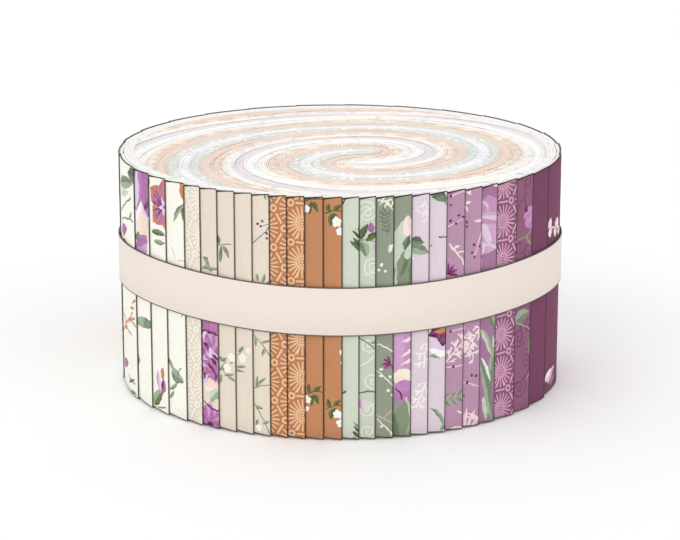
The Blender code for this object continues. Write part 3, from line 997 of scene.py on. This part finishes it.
def paint_plum_scroll(cloth):
    """Darker scrolls, one lilac flower and some leaves over them."""
    tone = srgb(124, 72, 102)
    for x, z, radius, turn in (
        (4.2, 61.8, 2.0, 0), (5.6, 43.4, 2.6, 90), (1.6, 45.0, 2.2, 200), (2.0, 20.4, 2.8, 30),
        (5.6, 14.0, 2.8, 160), (2.4, 6.6, 3.0, 60), (6.4, 23.4, 2.2, 120), (11.6, 55.0, 3.2, 30),
        (12.4, 36.0, 3.2, 130), (10.8, 14.0, 3.2, 260),
    ):
        cloth.lay("scroll", x, z, turn, radius, 1.5, 0.22, tone)
    for x, z, turn, bend in (
        (0.4, 52.0, 60, 1.4), (3.4, 60.6, -70, -1.2), (0.2, 26.0, -70, 1.4), (6.6, 11.0, 200, 1.4),
    ):
        cloth.line(x, z, turn, 7.6, 0.22, bend, tone)
    for x, z, turn, length in ((3.0, 52.4, 14, 7.0), (3.4, 51.0, -12, 6.4), (4.6, 49.4, 40, 5.0)):
        cloth.leaf(x, z, turn, length, 3.4, 0.2, srgb(196, 132, 182), srgb(206, 148, 194))
    cloth.dots(0.7, PLUM, (4.0, 54.4))
    cloth.line(0.0, 46.6, 5, 5.2, 0.24, 0.3, DULL_STEM)
    cloth.leaves(
        (4.4, 46.8, 40, 3.4, 0.9, 0.0, DULL_STEM, DULL_STEM),
        (4.6, 46.8, -50, 3.0, 1.1, 0.0, DULL_STEM, DULL_STEM), (0.2, 24.6, 18, 6.4, 3.8, 0.6),
    )
    cloth.line(0.8, 24.4, -26, 7.0, 0.17, 0.3, LEAF_PALE)
    cloth.leaf(7.0, 19.8, -96, 4.6, 1.9, 0.2)
    cloth.line(5.4, 8.4, 30, 2.6, 0.15, 0.3, ORCHID)


def paint_plum_floral(cloth):
    """Small white sprays on plum."""
    cloth.lines((0.4, 46.6, -12, 7.6, 0.28, 0.2, PINK), (7.6, 45.1, -12, 6.0, 0.28, 0.2, PINK))
    for x, turn, length, width in (
        (2.4, 78, 2.8, 3.0), (9.4, 80, 3.0, 4.4), (2.6, -86, 2.4, 3.2), (7.8, -102, 2.4, 3.4),
        (12.2, -80, 2.2, 3.2),
    ):
        cloth.leaf(x, 46.6 - x * 0.2, turn, length, width, 0.2, WHITE, PINK)
    cloth.leaves(
        (1.0, 4.4, 2, 7.8, 3.2, 0.3, PINK, WHITE), (3.2, 2.8, 26, 7.4, 2.6, 0.2, ORCHID, PINK),
        (6.0, 1.8, 22, 4.4, 1.4, 0.2, LEAF_PALE, LEAF),
    )


def paint_nothing(cloth):
    """A plain dyed cloth."""


WHEEL_TILE = (17.4, 10.05)
TALL = 80.0

# Each cloth's ground colour, the tile that its print repeats in, the unsteadiness of its drawing,
# the width of the painted line of shade along its free edge, and its motifs
CLOTHS = {
    "ivory_floral": (IVORY, (40.0, TALL), 1.3, 0.05, paint_ivory_floral),
    "petal_floral": (IVORY, (16.0, TALL), 1.6, 0.05, paint_petal_floral),
    "ivory_sprig": (IVORY, (16.0, TALL), 1.3, 0.05, paint_ivory_sprig),
    "beige_wheel": (WHEEL_BEIGE, WHEEL_TILE, 0.35, 0.06, paint_wheels(srgb(250, 245, 232))),
    "beige_floral": (BEIGE, (16.0, TALL), 2.0, 0.06, paint_beige_floral),
    "beige_sprig": (BEIGE, (16.0, TALL), 1.0, 0.06, paint_beige_sprig),
    "beige_plain": (BEIGE, (16.0, TALL), 1.0, 0.08, paint_beige_plain),
    "beige_berry": (BEIGE, (16.0, TALL), 0.8, 0.10, paint_beige_berry),
    "terracotta_wheel": (WHEEL_BROWN, WHEEL_TILE, 0.35, 0.13, paint_wheels(srgb(240, 200, 158))),
    "terracotta_sprig": (TERRACOTTA, (18.0, TALL), 1.0, 0.18, paint_terracotta_sprig),
    "pale_green": (PALE_GREEN, (16.0, TALL), 1.0, 0.20, paint_pale_green),
    "pale_scroll": (SCROLL_GREEN, (14.0, TALL), 1.0, 0.22, paint_pale_scroll),
    "sage_floral": (SAGE, (24.0, TALL), 1.4, 0.24, paint_sage_floral),
    "lilac_twig": (PALE_LILAC, (16.0, TALL), 1.2, 0.26, paint_lilac_twig),
    "lilac_floral": (PALE_LILAC, (16.0, TALL), 1.6, 0.27, paint_lilac_floral),
    "mauve_twig": (MAUVE_GROUND, (20.0, TALL), 1.2, 0.29, paint_mauve_twig),
    "mauve_petal": (DEEP_MAUVE, (16.0, TALL), 1.6, 0.36, paint_mauve_petal),
    "plum_wheel": (WHEEL_PLUM, WHEEL_TILE, 0.35, 0.44, paint_wheels(srgb(224, 168, 196))),
    "plum_scroll": (SCROLL_PLUM, (15.0, TALL), 1.2, 0.56, paint_plum_scroll),
    "plum_plain": (PLUM_GROUND, (16.0, TALL), 1.0, 0.70, paint_nothing),
    "plum_floral": (PLUM_GROUND, (16.0, TALL), 1.4, 0.80, paint_plum_floral),
}

# Where in its print a strip end at the front begins, along and up; the front ends that aren't
# listed begin at (0, 0) and those at the back anywhere
STARTS = {
    3: (21.5, 0.0), 5: (2.4, 4.7), 10: (2.0, -4.7), 11: (-3.8, -6.3),
    13: (5.2, 0.0), 17: (8.4, 0.0), 21: (5.34, 0.0), 23: (-2.2, -2.8),
}


# ---- Materials

def weave_group():
    """Height of a plain weave, 0 in its holes and 1 on its threads, at a point in millimetres."""
    if "weave" in bpy.data.node_groups:
        return bpy.data.node_groups["weave"]
    tree, given, result = start_group("weave", [("Vector", "Point")], ("Float", "Height"))
    x, z, _ = split(tree, given["Point"])
    warp = cosine(x * math.pi / THREAD_PITCH)
    weft = cosine(z * math.pi / THREAD_PITCH)
    over = warp * weft * 0.5
    height = larger(abs(warp) + over, abs(weft) - over) / 1.5
    connect(tree, height, result)
    return tree


def new_material(name):
    """A material, its node tree and its shader."""
    material = bpy.data.materials.new(name)
    material.use_nodes = True
    tree = material.node_tree
    return material, tree, tree.nodes["Principled BSDF"]


def finish_surface(tree, shader, colour, light, roughness, height, depth):
    """Shades the colour by a light value, and sets the roughness and a bump from a height that
    runs from 0 to 1, this many millimetres deep."""
    colour = mix_colour(tree, 1.0, colour, grey(tree, light), "MULTIPLY")
    connect(tree, colour, shader.inputs["Base Color"])
    connect(tree, roughness, shader.inputs["Roughness"])
    shader.inputs["Specular IOR Level"].default_value = 0.10
    bump = tree.nodes.new("ShaderNodeBump")
    bump.inputs["Distance"].default_value = depth * MM
    connect(tree, height, bump.inputs["Height"])
    connect(tree, bump.outputs[0], shader.inputs["Normal"])


def cloth_look(tree, shader, colour, point, level=CLOTH_LIGHT):
    """Quilting cotton: a fine weave with uneven threads, a soft bloom and slight puckers."""
    weave = Value(tree, use_group(tree, weave_group(), Point=point))
    x_slubs = noise(tree, vector_math(tree, "MULTIPLY", point, (1.0, 0.12, 1.0)), 0.5, 1.0)
    z_slubs = noise(tree, vector_math(tree, "MULTIPLY", point, (0.12, 1.0, 1.0)), 0.5, 1.0)
    cloudy = noise(tree, point, 7.0, 2.0)
    slubs = x_slubs + z_slubs - 1.0
    # The threads are painted a little lighter than the holes of the weave, as painted shade in them; slubs
    # and clouds vary the rest at random
    light = weave * 0.06 + slubs * 0.10 + (cloudy - 0.5) * 0.08 + level
    roughness = slubs * 0.15 + (0.94 - weave * 0.12)
    shader.inputs["Sheen Weight"].default_value = 0.04
    shader.inputs["Sheen Roughness"].default_value = 0.5
    puckers = weave * 0.6 + slubs * 0.5 + cloudy * 1.2
    finish_surface(tree, shader, colour, light, roughness, puckers, 0.07)


def grey(tree, value):
    """A grey of this lightness."""
    node = tree.nodes.new("ShaderNodeCombineColor")
    for socket in node.inputs[:3]:
        connect(tree, value, socket)
    return node.outputs[0]


def uncovered(from_crease):
    """1 on the part of a strip end that shows and 0 where the next end lies over it."""
    return smooth(from_crease, -0.55, -0.35)


def thin_line(distance, width, soft=0.75):
    """1 within this width of an edge, fading outward; the fade begins at this share of it."""
    return smooth(distance, width * 1.25, width * soft)


def printed_material(name):
    """The printed side of one cloth, with painted shade in the crease where the next end lies over it
    and along its cut edges."""
    ground, tile, wobble, line, paint = CLOTHS[name]
    material, tree, shader = new_material("print_" + name)
    cloth = Print(tree, ground, tile, wobble)
    paint(cloth)
    point = attribute(tree, "cloth")
    from_crease, height, from_edge = split(tree, point)
    _, _, from_rim = split(tree, attribute(tree, "print"))
    faded = noise(tree, point, 1.1, 3.0)
    colour = mix_colour(tree, smooth(faded, 0.45, 0.75) * 0.16, cloth.colour, ground)
    shown = uncovered(from_crease)
    hidden_rim = smooth(from_rim, 0.35, 0.25) * (1.0 - shown)
    colour = mix_colour(tree, hidden_rim * 0.7, colour, RIM_WHITE)
    # Painted shade: thin dark lines beside the crease and along the top and bottom, mixed toward SHADE
    crease = smooth(from_crease, CREASE_SHADE, CREASE_SHADE * 0.4)
    # The painted line of shade along the upper edge grows wider towards the crease, as a painted shadow
    thick = smooth(from_crease, 3.4, 0.0) * smooth(height, HEIGHT * 0.5, HEIGHT * 0.6) * 0.8 + 1.0
    rims = thin_line(from_rim / thick, RIM_SHADE_LINE)
    # Painted shade along the free edge, as wide as the cloth's line
    edge = thin_line(from_edge, line, 0.6)
    dark = larger(larger(crease * 0.60, rims * 0.95) * shown, edge * 0.9)
    cloth_look(tree, shader, mix_colour(tree, dark, colour, SHADE), point)
    return material


def back_material(name):
    """The wrong side and cut edges of one cloth, where the print shows through only faintly, with painted
    shade on the cut edges.
    """
    ground = CLOTHS[name][0]
    material, tree, shader = new_material("back_" + name)
    point = attribute(tree, "cloth")
    blotches = noise(tree, attribute(tree, "print"), 3.0, 2.0)
    pale = mix_colour(tree, 0.80, ground, srgb(250, 247, 240))
    colour = mix_colour(tree, smooth(blotches, 0.55, 0.75) * 0.30, pale, ground)
    from_crease, _, from_edge = split(tree, point)
    _, _, from_rim = split(tree, attribute(tree, "print"))
    shown = uncovered(from_crease)
    rims = smooth(from_rim, 0.40, 0.30)
    white = rims * (1.0 - shown)
    colour = mix_colour(tree, white, colour, RIM_WHITE)
    # Painted shade on the cut edge and along the rims of the part that shows
    cut = larger(thin_line(from_edge, CUT_SHADE_LINE, 0.6) * 0.85, rims * shown * 0.85)
    colour = mix_colour(tree, cut, colour, SHADE)
    cloth_look(tree, shader, colour, point, white * 0.07 + CLOTH_LIGHT)
    return material


def turns_material(name, tint, patches, joint_strength, marks=None):
    """Cut edges of one cloth of the roll: its tint, patches where the print reaches the edge,
    fibres, and a shade along the joint with the next cloth."""
    material, tree, shader = new_material("turns_" + name)
    point = attribute(tree, "cloth")
    plan = attribute(tree, "plan")
    _, _, shade = split(tree, point)
    colour = tint
    for order, (dye, size, share, strength) in enumerate(patches):
        place = vector_math(tree, "ADD", plan, (31.0 * order, 17.0 * order, 0.0))
        spots = noise(tree, place, size, 2.0)
        colour = mix_colour(tree, smooth(spots, share, share + 0.06) * strength, colour, dye)
    if marks:
        scraps = Print(tree, colour, SCRAP_TILE, 0.5, "plan")
        marks(scraps)
        colour = scraps.colour
    fibres = noise(tree, vector_math(tree, "MULTIPLY", point, (1.0, 1.0, 9.0)), 0.35, 2.0)
    _, _, from_joint = split(tree, plan)
    # Painted shade along the joint with the next layer
    joint = smooth(from_joint, 0.20, 0.06)
    colour = mix_colour(tree, joint * joint_strength, colour, SHADE)
    shader.inputs["Sheen Weight"].default_value = 0.12
    light = 0.965 + fibres * 0.07 + shade * 0.02
    weave = Value(tree, use_group(tree, weave_group(), Point=point))
    finish_surface(tree, shader, colour, light, 0.86 + fibres * 0.12, fibres + weave * 0.4, 0.08)
    return material


def mark_wheels(scraps):
    """Scraps of the spoked wheels."""
    scraps.lay("wheel", 0.0, 0.0, 0.0, 14, 0.8, 2.7, 0.25, 0.5, CREAM_EDGE)
    scraps.lay("ring", 3.6, 0.6, 0.0, 0.5, 0.24, CREAM_EDGE)
    scraps.line(3.0, 3.4, 40, 1.6, 0.22, 0.0, CREAM_EDGE)


def mark_leaves(scraps):
    """Scraps of pale leaves and dots."""
    for x, z, turn in ((0.2, 0.4, 25), (3.4, 2.6, 110), (1.8, 4.6, 200)):
        scraps.leaf(x, z, turn, 2.2, 0.9, 0.1, RIM_WHITE, RIM_WHITE)
    scraps.dots(0.32, RIM_WHITE, (5.4, 0.9), (0.8, 3.2), (5.8, 4.4))


def paper_material():
    """Bare card: fine fibres, faint mottling and a thin line of painted shade along its top and bottom edges.
    """
    material, tree, shader = new_material("bare_paper")
    point = attribute(tree, "cloth")
    _, height, _ = split(tree, point)
    fibres = noise(tree, vector_math(tree, "MULTIPLY", point, (0.25, 1.0, 1.0)), 0.30, 3.0)
    mottle = noise(tree, point, 5.0, 3.0)
    # Painted shade: a thin dark line along the band's top and bottom edges
    edge = smooth(smaller(height, BAND_HEIGHT - height), 0.36, 0.24)
    colour = mix_colour(tree, edge * 0.9, CARD, CARD_EDGE_SHADE)
    light = 0.945 + fibres * 0.05 + mottle * 0.03
    finish_surface(tree, shader, colour, light, 0.68 + fibres * 0.14, fibres + mottle, 0.02)
    return material


# ---- Meshes

def new_piece(name, verts, faces, materials, attributes, slots=None):
    """A smooth mesh object from arrays in millimetres, riding on the roll."""
    mesh = bpy.data.meshes.new(name)
    mesh.from_pydata((np.asarray(verts) * MM).tolist(), [], faces)
    for material in materials:
        mesh.materials.append(material)
    mesh.polygons.foreach_set("use_smooth", np.ones(len(faces), dtype=bool))
    if slots is not None:
        mesh.polygons.foreach_set("material_index", np.asarray(slots, dtype=np.int32))
    for key, values in attributes.items():
        layer = mesh.attributes.new(key, "FLOAT_VECTOR", "POINT")
        layer.data.foreach_set("vector", np.asarray(values, dtype=np.float32).ravel())
    mesh.update()
    piece = bpy.data.objects.new(name, mesh)
    bpy.context.scene.collection.objects.link(piece)
    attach(piece, "root")
    return piece


def half_turn_bits(radius):
    """How many straight bits make a half turn."""
    return max(FEWEST_BITS, math.ceil(math.pi * radius / STEP))


def half_circle(centre_y, radius, start):
    """Points of a half circle from this angle in degrees, anticlockwise."""
    angles = math.radians(start) + np.linspace(0.0, math.pi, half_turn_bits(radius) + 1)
    return np.column_stack((FOLD_X + radius * np.cos(angles), centre_y + radius * np.sin(angles)))


def arm(first_radius, first_left):
    """Half circles from the fold outward, anticlockwise; each is one bundle wider than the last."""
    runs = []
    radius = first_radius
    left = first_left
    while radius < ARM_REACH:
        if left:
            runs.append(half_circle(FRONT_FOLD_Y, radius, 90.0)[1:])
        else:
            runs.append(half_circle(BACK_FOLD_Y, radius, -90.0)[1:])
        radius += BUNDLE
        left = not left
    return np.vstack(runs)


def level_path(level):
    """The way of a layer that passes round the back fold centre at this radius: in along one
    spiral arm, round the S in the middle and out along the other; and where the S ends."""
    first_arm = arm(BUNDLE + level, True)
    turn = half_circle(BACK_FOLD_Y, level, -90.0)
    second_arm = arm(BUNDLE - level, True)
    return np.vstack((first_arm[::-1], turn[::-1], second_arm)), len(first_arm) + len(turn)


def inside_runs(path, reach):
    """The stretches of a path that lie within this reach of the axis, ended on it."""
    distance = np.hypot(path[:, 0], path[:, 1])
    within = distance < reach
    runs = []
    current = []
    for index in range(len(path)):
        if index and within[index] != within[index - 1]:
            a, b = distance[index - 1], distance[index]
            share = (reach - a) / (b - a)
            edge = path[index - 1] + (path[index] - path[index - 1]) * share
            if within[index]:
                current = [edge]
            else:
                current.append(edge)
                runs.append(np.array(current))
                current = []
        if within[index]:
            current.append(path[index])
    if len(current) > 2:
        runs.append(np.array(current))
    return [run for run in runs if len(run) > 3]


def ribbon(path, thickness, low, high, bevel):
    """A closed standing ribbon along a path: rings of eight points, joined by quads, and the
    offset of each of the eight from the path."""
    ahead = np.gradient(path, axis=0)
    ahead /= np.linalg.norm(ahead, axis=1)[:, None]
    side = np.column_stack((ahead[:, 1], -ahead[:, 0]))
    half = thickness / 2
    section = (
        (-half, 0, bevel), (-half + bevel, 0, 0), (half - bevel, 0, 0), (half, 0, bevel),
        (half, 1, -bevel), (half - bevel, 1, 0), (-half + bevel, 1, 0), (-half, 1, -bevel),
    )
    ring = []
    for offset, is_top, rise in section:
        height = (high if is_top else low) + rise
        ring.append(np.column_stack((path + side * offset, height)))
    points = np.stack(ring, axis=1)
    count, size = points.shape[:2]
    first = np.arange(count - 1)[:, None] * size
    a = np.arange(size)[None, :]
    b = (np.arange(size)[None, :] + 1) % size
    quads = np.stack((first + a, first + b, first + size + b, first + size + a), axis=-1).reshape(-1, 4)
    caps = [list(range(size))[::-1], [(count - 1) * size + k for k in range(size)]]
    return points.reshape(-1, 3), quads.tolist() + caps, [part[0] for part in section]


def path_length(path):
    """Distance along a path at each of its points."""
    steps = np.linalg.norm(np.diff(path, axis=0), axis=1)
    return np.concatenate(([0.0], np.cumsum(steps)))


def wander(points, amount, scale, seed):
    """A smooth shift of points in plan, the same for all that lie close together."""
    rng = np.random.default_rng(seed)
    shift = np.zeros((len(points), 2))
    for _ in range(6):
        wave = rng.normal(size=2) / scale
        phase = rng.uniform(0, 2 * math.pi, size=2)
        for axis in range(2):
            shift[:, axis] += np.sin(points[:, 0] * wave[0] + points[:, 1] * wave[1] + phase[axis])
    return shift * amount / 3


# ---- The wound cloth

# Colour bands of the bundle from the back fold outward: name, first and last level in band
# widths, which side of the S it keeps to, tint, patches of print as dye, size, threshold and
# strength, and scraps of its print
BANDS = (
    ("lilac", 0.0, 0.5, "both", srgb(255, 252, 255),
     ((LILAC, 4.0, 0.54, 0.25), (PINK, 2.6, 0.60, 0.2)), None),
    ("green", 0.5, 1.5, "both", srgb(230, 233, 226), ((LEAF_MIST, 2.6, 0.56, 0.30),), mark_leaves),
    ("peach", 1.5, 2.5, "both", srgb(243, 224, 211),
     ((CREAM, 1.8, 0.58, 0.3), (ORCHID, 3.6, 0.66, 0.15)), None),
    ("wheel", 2.5, 3.5, "both", srgb(238, 217, 202), ((CORAL, 1.6, 0.60, 0.10),), mark_wheels),
    ("cream", 3.5, 4.5, "both", srgb(253, 250, 244),
     ((LEAF_PALE, 3.0, 0.62, 0.35), (ORCHID, 3.4, 0.62, 0.30)), None),
    ("white", 4.5, 5.5, "first", srgb(255, 255, 253),
     ((LEAF_PALE, 3.2, 0.64, 0.30), (ORCHID, 3.6, 0.64, 0.25)), None),
    ("mauve", 4.5, 5.5, "second", srgb(241, 232, 236),
     ((RIM_WHITE, 2.4, 0.60, 0.4), (MAUVE, 3.0, 0.62, 0.15)), None),
)
OUTER_PATCHES = ((ORCHID, 4.0, 0.62, 0.30), (LEAF_PALE, 3.6, 0.63, 0.30), (PINK, 3.0, 0.60, 0.35))


class Winding:
    """Layers of one wound cloth, gathered into one piece."""

    def __init__(self):
        self.verts, self.faces, self.cloth, self.plan = [], [], [], []
        self.count = 0
        self.length = 0.0

    def add(self, path, thickness, low, high, start, shade, joint_distance):
        """Adds a layer along a path.  Its cloth is measured from this start, and the last value
        gives the distance from the nearest joint for a place across the layer."""
        verts, faces, offsets = ribbon(path, thickness, low, high, TURN_BEVEL)
        along = path_length(path)
        from_joint = joint_distance(np.tile(offsets, len(path)))
        self.faces += [[index + self.count for index in face] for face in faces]
        self.verts.append(verts)
        shades = np.full(len(verts), shade)
        self.cloth.append(np.column_stack((np.repeat(start + along, RIBBON_POINTS), verts[:, 2], shades)))
        self.plan.append(np.column_stack((verts[:, :2], from_joint)))
        self.count += len(verts)
        self.length += along[-1]

    def finish(self, name, material):
        """Makes the piece."""
        attributes = {"cloth": np.vstack(self.cloth), "plan": np.vstack(self.plan)}
        piece = new_piece("turns_" + name, np.vstack(self.verts), self.faces, [material], attributes)
        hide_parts("wound_roll")


def band_paths(first, last, keep):
    """Path and place across the band of each of its layers, the pitch and the width."""
    layers = round(LAYERS * (last - first))
    gap_low = 0.0 if first == 0.0 else COLOUR_GAP / 2
    gap_high = 0.0 if last == CLOTHS_ACROSS else COLOUR_GAP / 2
    pitch = ((last - first) * BAND_WIDTH - gap_low - gap_high) / layers
    paths = []
    for layer in range(layers):
        across = (layer + 0.5) * pitch
        level = first * BAND_WIDTH + gap_low + across
        path, middle = level_path(level)
        cut = middle + half_turn_bits(BUNDLE - level) // 2
        if keep == "first":
            path = path[:cut + 1]
        elif keep == "second":
            path = path[cut:]
        paths.append((path, across))
    return paths, pitch, pitch * layers


def build_band_of_turns(name, first, last, keep, material, rng):
    """All the layers of one cloth, side by side along the whole spiral."""
    paths, pitch, width = band_paths(first, last, keep)
    winding = Winding()
    for path, across in paths:
        drop = rng.uniform(-LAYER_UNEVEN, LAYER_UNEVEN)
        for run in inside_runs(path, BAND_REACH):
            run = run + wander(run, WANDER, WANDER_SCALE, WANDER_SEED)
            along = path_length(run)
            phases = rng.uniform(0, WAVE_STARTS, 3)
            waves = zip(LAYER_WAVES, phases)
            sway = sum(high * np.sin(along / size + phase) for (high, size), phase in waves)
            winding.add(
                run, pitch - LAYER_GAP, LAYER_FOOT + np.abs(sway), HEIGHT - TOP_DROP + drop + sway,
                0.0, rng.random(), lambda place: np.minimum(across + place, width - (across + place)),
            )
    winding.finish(name, material)


def build_outer_turns(material):
    """White cloth wound right round the coloured bundle."""
    rng = np.random.default_rng(OUTER_SEED)
    winding = Winding()
    thickness = OUTER_PITCH - LAYER_GAP
    for turn in range(OUTER_TURNS):
        radius = BAND_REACH + OUTER_PITCH * (turn + 0.5)
        sweep = np.linspace(0.0, 2 * math.pi - LAYER_SLIT / radius, OUTER_POINTS)
        angles = rng.uniform(0.0, WAVE_STARTS) + sweep
        path = np.column_stack((radius * np.sin(angles), radius * np.cos(angles)))
        sway = 0.04 * np.sin(angles * 7.0 + turn) + 0.03 * np.sin(angles * 3.0)
        winding.add(
            path, thickness, OUTER_FOOT + sway, HEIGHT - TOP_DROP + sway,
            winding.length, 0.5, lambda place: thickness / 2 - np.abs(place) + JOINT_INSET,
        )
    winding.finish("outer", material)


def build_turns():
    """The coloured bundle and the white turns round it."""
    rng = np.random.default_rng(LAYER_SEED)
    for name, first, last, keep, tint, patches, marks in BANDS:
        material = turns_material(name, tint, patches, 0.30, marks)
        build_band_of_turns(name, first, last, keep, material, rng)
    build_outer_turns(turns_material("outer", RIM_WHITE, OUTER_PATCHES, 0.12))


# ---- The strip ends

def end_spans():
    """Node, cloth, and first and last angle in degrees from the front, of every strip end."""
    spans = []
    for entry in frame["record"]["subparts"]:
        node = entry["node"]
        if not node.startswith("strip_end"):
            continue
        verts = frame["nodes"][node].data.vertices
        angles = [math.degrees(math.atan2(vert.co.x, -vert.co.y)) % 360 for vert in verts]
        if max(angles) - min(angles) > 180:
            angles = [angle - 360 if angle > 180 else angle for angle in angles]
        spans.append((node, entry["material_slot"], min(angles), max(angles)))
    return spans


def end_columns(index, spans):
    """Angle and laps beneath the surface of each column of an end: the hidden part runs under
    the ends to its left, one lap deeper for each.  The outermost columns stand close together
    for the rounded edges."""
    columns = []
    for lap in range(LAPS, -1, -1):
        _, _, low, high = spans[(index - lap) % len(spans)]
        length = math.radians(high - low) * RADIUS
        count = max(3, math.ceil(length / COLUMN_STEP))
        for share in np.linspace(0.0, 1.0, count + 1)[:-1]:
            columns.append((low + (high - low) * share, lap + 1 - share))
        if lap == 1:
            share = 1.0 - DROP_RUN / length
            columns.append((low + (high - low) * share, lap + 1 - share))
    edge = 1.0 - END_BEVEL / length
    columns.append((low + (high - low) * edge, 1.0 - edge))
    columns.append((high, 0.0))
    angles = np.unwrap(np.radians([column[0] for column in columns]))
    return angles, np.array([column[1] for column in columns])


def end_tops(number, along, rise):
    """Height of an end's top edge at each of its columns."""
    if number <= FRONT_ENDS:
        return HEIGHT - END_SHORT * rise
    tucked = np.clip(-along / DROP_RUN, 0.0, 1.0)
    return HEIGHT - BACK_SHORT * rise - HIDDEN_DROP * tucked


def end_section():
    """Round the section of an end: up the printed side and down the other, each point as how
    deep it lies and its share of the height."""
    edge = END_BEVEL / HEIGHT
    heights = np.concatenate(([0.0], np.linspace(edge, 1.0 - edge, END_ROWS - 1), [1.0]))
    return [(0.0, share) for share in heights] + [(SHEET, share) for share in heights[::-1]]


def end_faces(columns, size):
    """Faces between the columns of an end and at its two edges, and their material slots: 0 for
    the printed side and 1 for the rest."""
    faces = []
    slots = []
    for c in range(columns - 1):
        for k in range(size):
            n = (k + 1) % size
            faces.append((c * size + k, (c + 1) * size + k, (c + 1) * size + n, c * size + n))
            slots.append(0 if k < END_ROWS else 1)
    last_column = (columns - 1) * size
    for k in range(END_ROWS):
        ring = (k, k + 1, size - 2 - k, size - 1 - k)
        faces.append(ring)
        faces.append(tuple(last_column + corner for corner in reversed(ring)))
        slots += [1, 1]
    return faces, slots


def build_end(index, spans, materials, rng):
    """One strip end, with where each point lies on its cloth and in its print."""
    node, cloth, first, last = spans[index]
    number = int(node[-2:])
    angles, depth = end_columns(index, spans)
    along = (angles - angles[-1] + math.radians(last - first)) * RADIUS
    rise = np.minimum(depth, 1.0)
    low = END_LIFT * rise
    high = end_tops(number, along, rise)
    outer = RADIUS - depth * LAP
    squeeze = np.zeros(len(angles))
    squeeze[[0, -1]] = END_BEVEL
    anywhere = (rng.uniform(0.0, 20.0), rng.uniform(0.0, 60.0))
    start = STARTS.get(number, (0.0, 0.0)) if number <= FRONT_ENDS else anywhere
    section = end_section()
    points, laid, printed = np.zeros((3, len(angles), len(section), 3))
    for k, (inward, share) in enumerate(section):
        inset = squeeze + (END_BEVEL if share in (0.0, 1.0) else 0.0)
        radius = outer - inward + (inset if inward else -inset)
        height = low + (high - low) * share
        from_rim = min(share, 1.0 - share) * (high - low)
        points[:, k] = np.column_stack((radius * np.sin(angles), -radius * np.cos(angles), height))
        laid[:, k] = np.column_stack((along, height, along[-1] - along))
        printed[:, k] = np.column_stack((along + start[0], height + start[1], from_rim))
    faces, slots = end_faces(len(angles), len(section))
    attributes = {"cloth": laid.reshape(-1, 3), "print": printed.reshape(-1, 3)}
    piece = new_piece("cloth_end_" + node[-2:], points.reshape(-1, 3), faces, materials, attributes, slots)
    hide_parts(node)


def build_ends():
    """All the strip ends, each in its own cloth."""
    spans = end_spans()
    rng = np.random.default_rng(END_SEED)
    materials = {name: (printed_material(name), back_material(name)) for name in CLOTHS}
    for index in range(len(spans)):
        build_end(index, spans, materials[spans[index][1]], rng)


# ---- The bare paper band

def build_band():
    """One strip of paper round the roll in shallow waves, lapped over itself at the back."""
    inner = RADIUS + PAPER_CLEAR
    overlap = PAPER_OVERLAP / inner
    turn = np.linspace(0.0, 1.0, PAPER_BITS + 1)
    angles = math.radians(PAPER_START) + turn * (2 * math.pi + overlap)
    share = overlap / (2 * math.pi)
    lift = np.clip((turn - 1 + LAP_RISE * share) / share, 0, 1) * (PAPER + LAP_CLEAR)
    radius = inner + PAPER / 2 + lift
    path = np.column_stack((radius * np.sin(angles), -radius * np.cos(angles)))
    low = BAND_LOW[2] / MM + BAND_BOW * (1 - np.cos(BAND_CRESTS * angles)) / 2
    verts, faces, _ = ribbon(path, PAPER, low, low + BAND_HEIGHT, PAPER_BEVEL)
    along = np.repeat(path_length(path), RIBBON_POINTS)
    height = verts[:, 2] - np.repeat(low, RIBBON_POINTS)
    laid = np.column_stack((along, height, np.zeros(len(verts))))
    piece = new_piece("band_of_paper", verts, faces, [paper_material()], {"cloth": laid})
    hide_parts("paper_band")


bpy.context.scene.view_settings.view_transform = "Standard"
build_camera()
build_lights()
build_floor()
build_turns()
build_ends()
build_band()
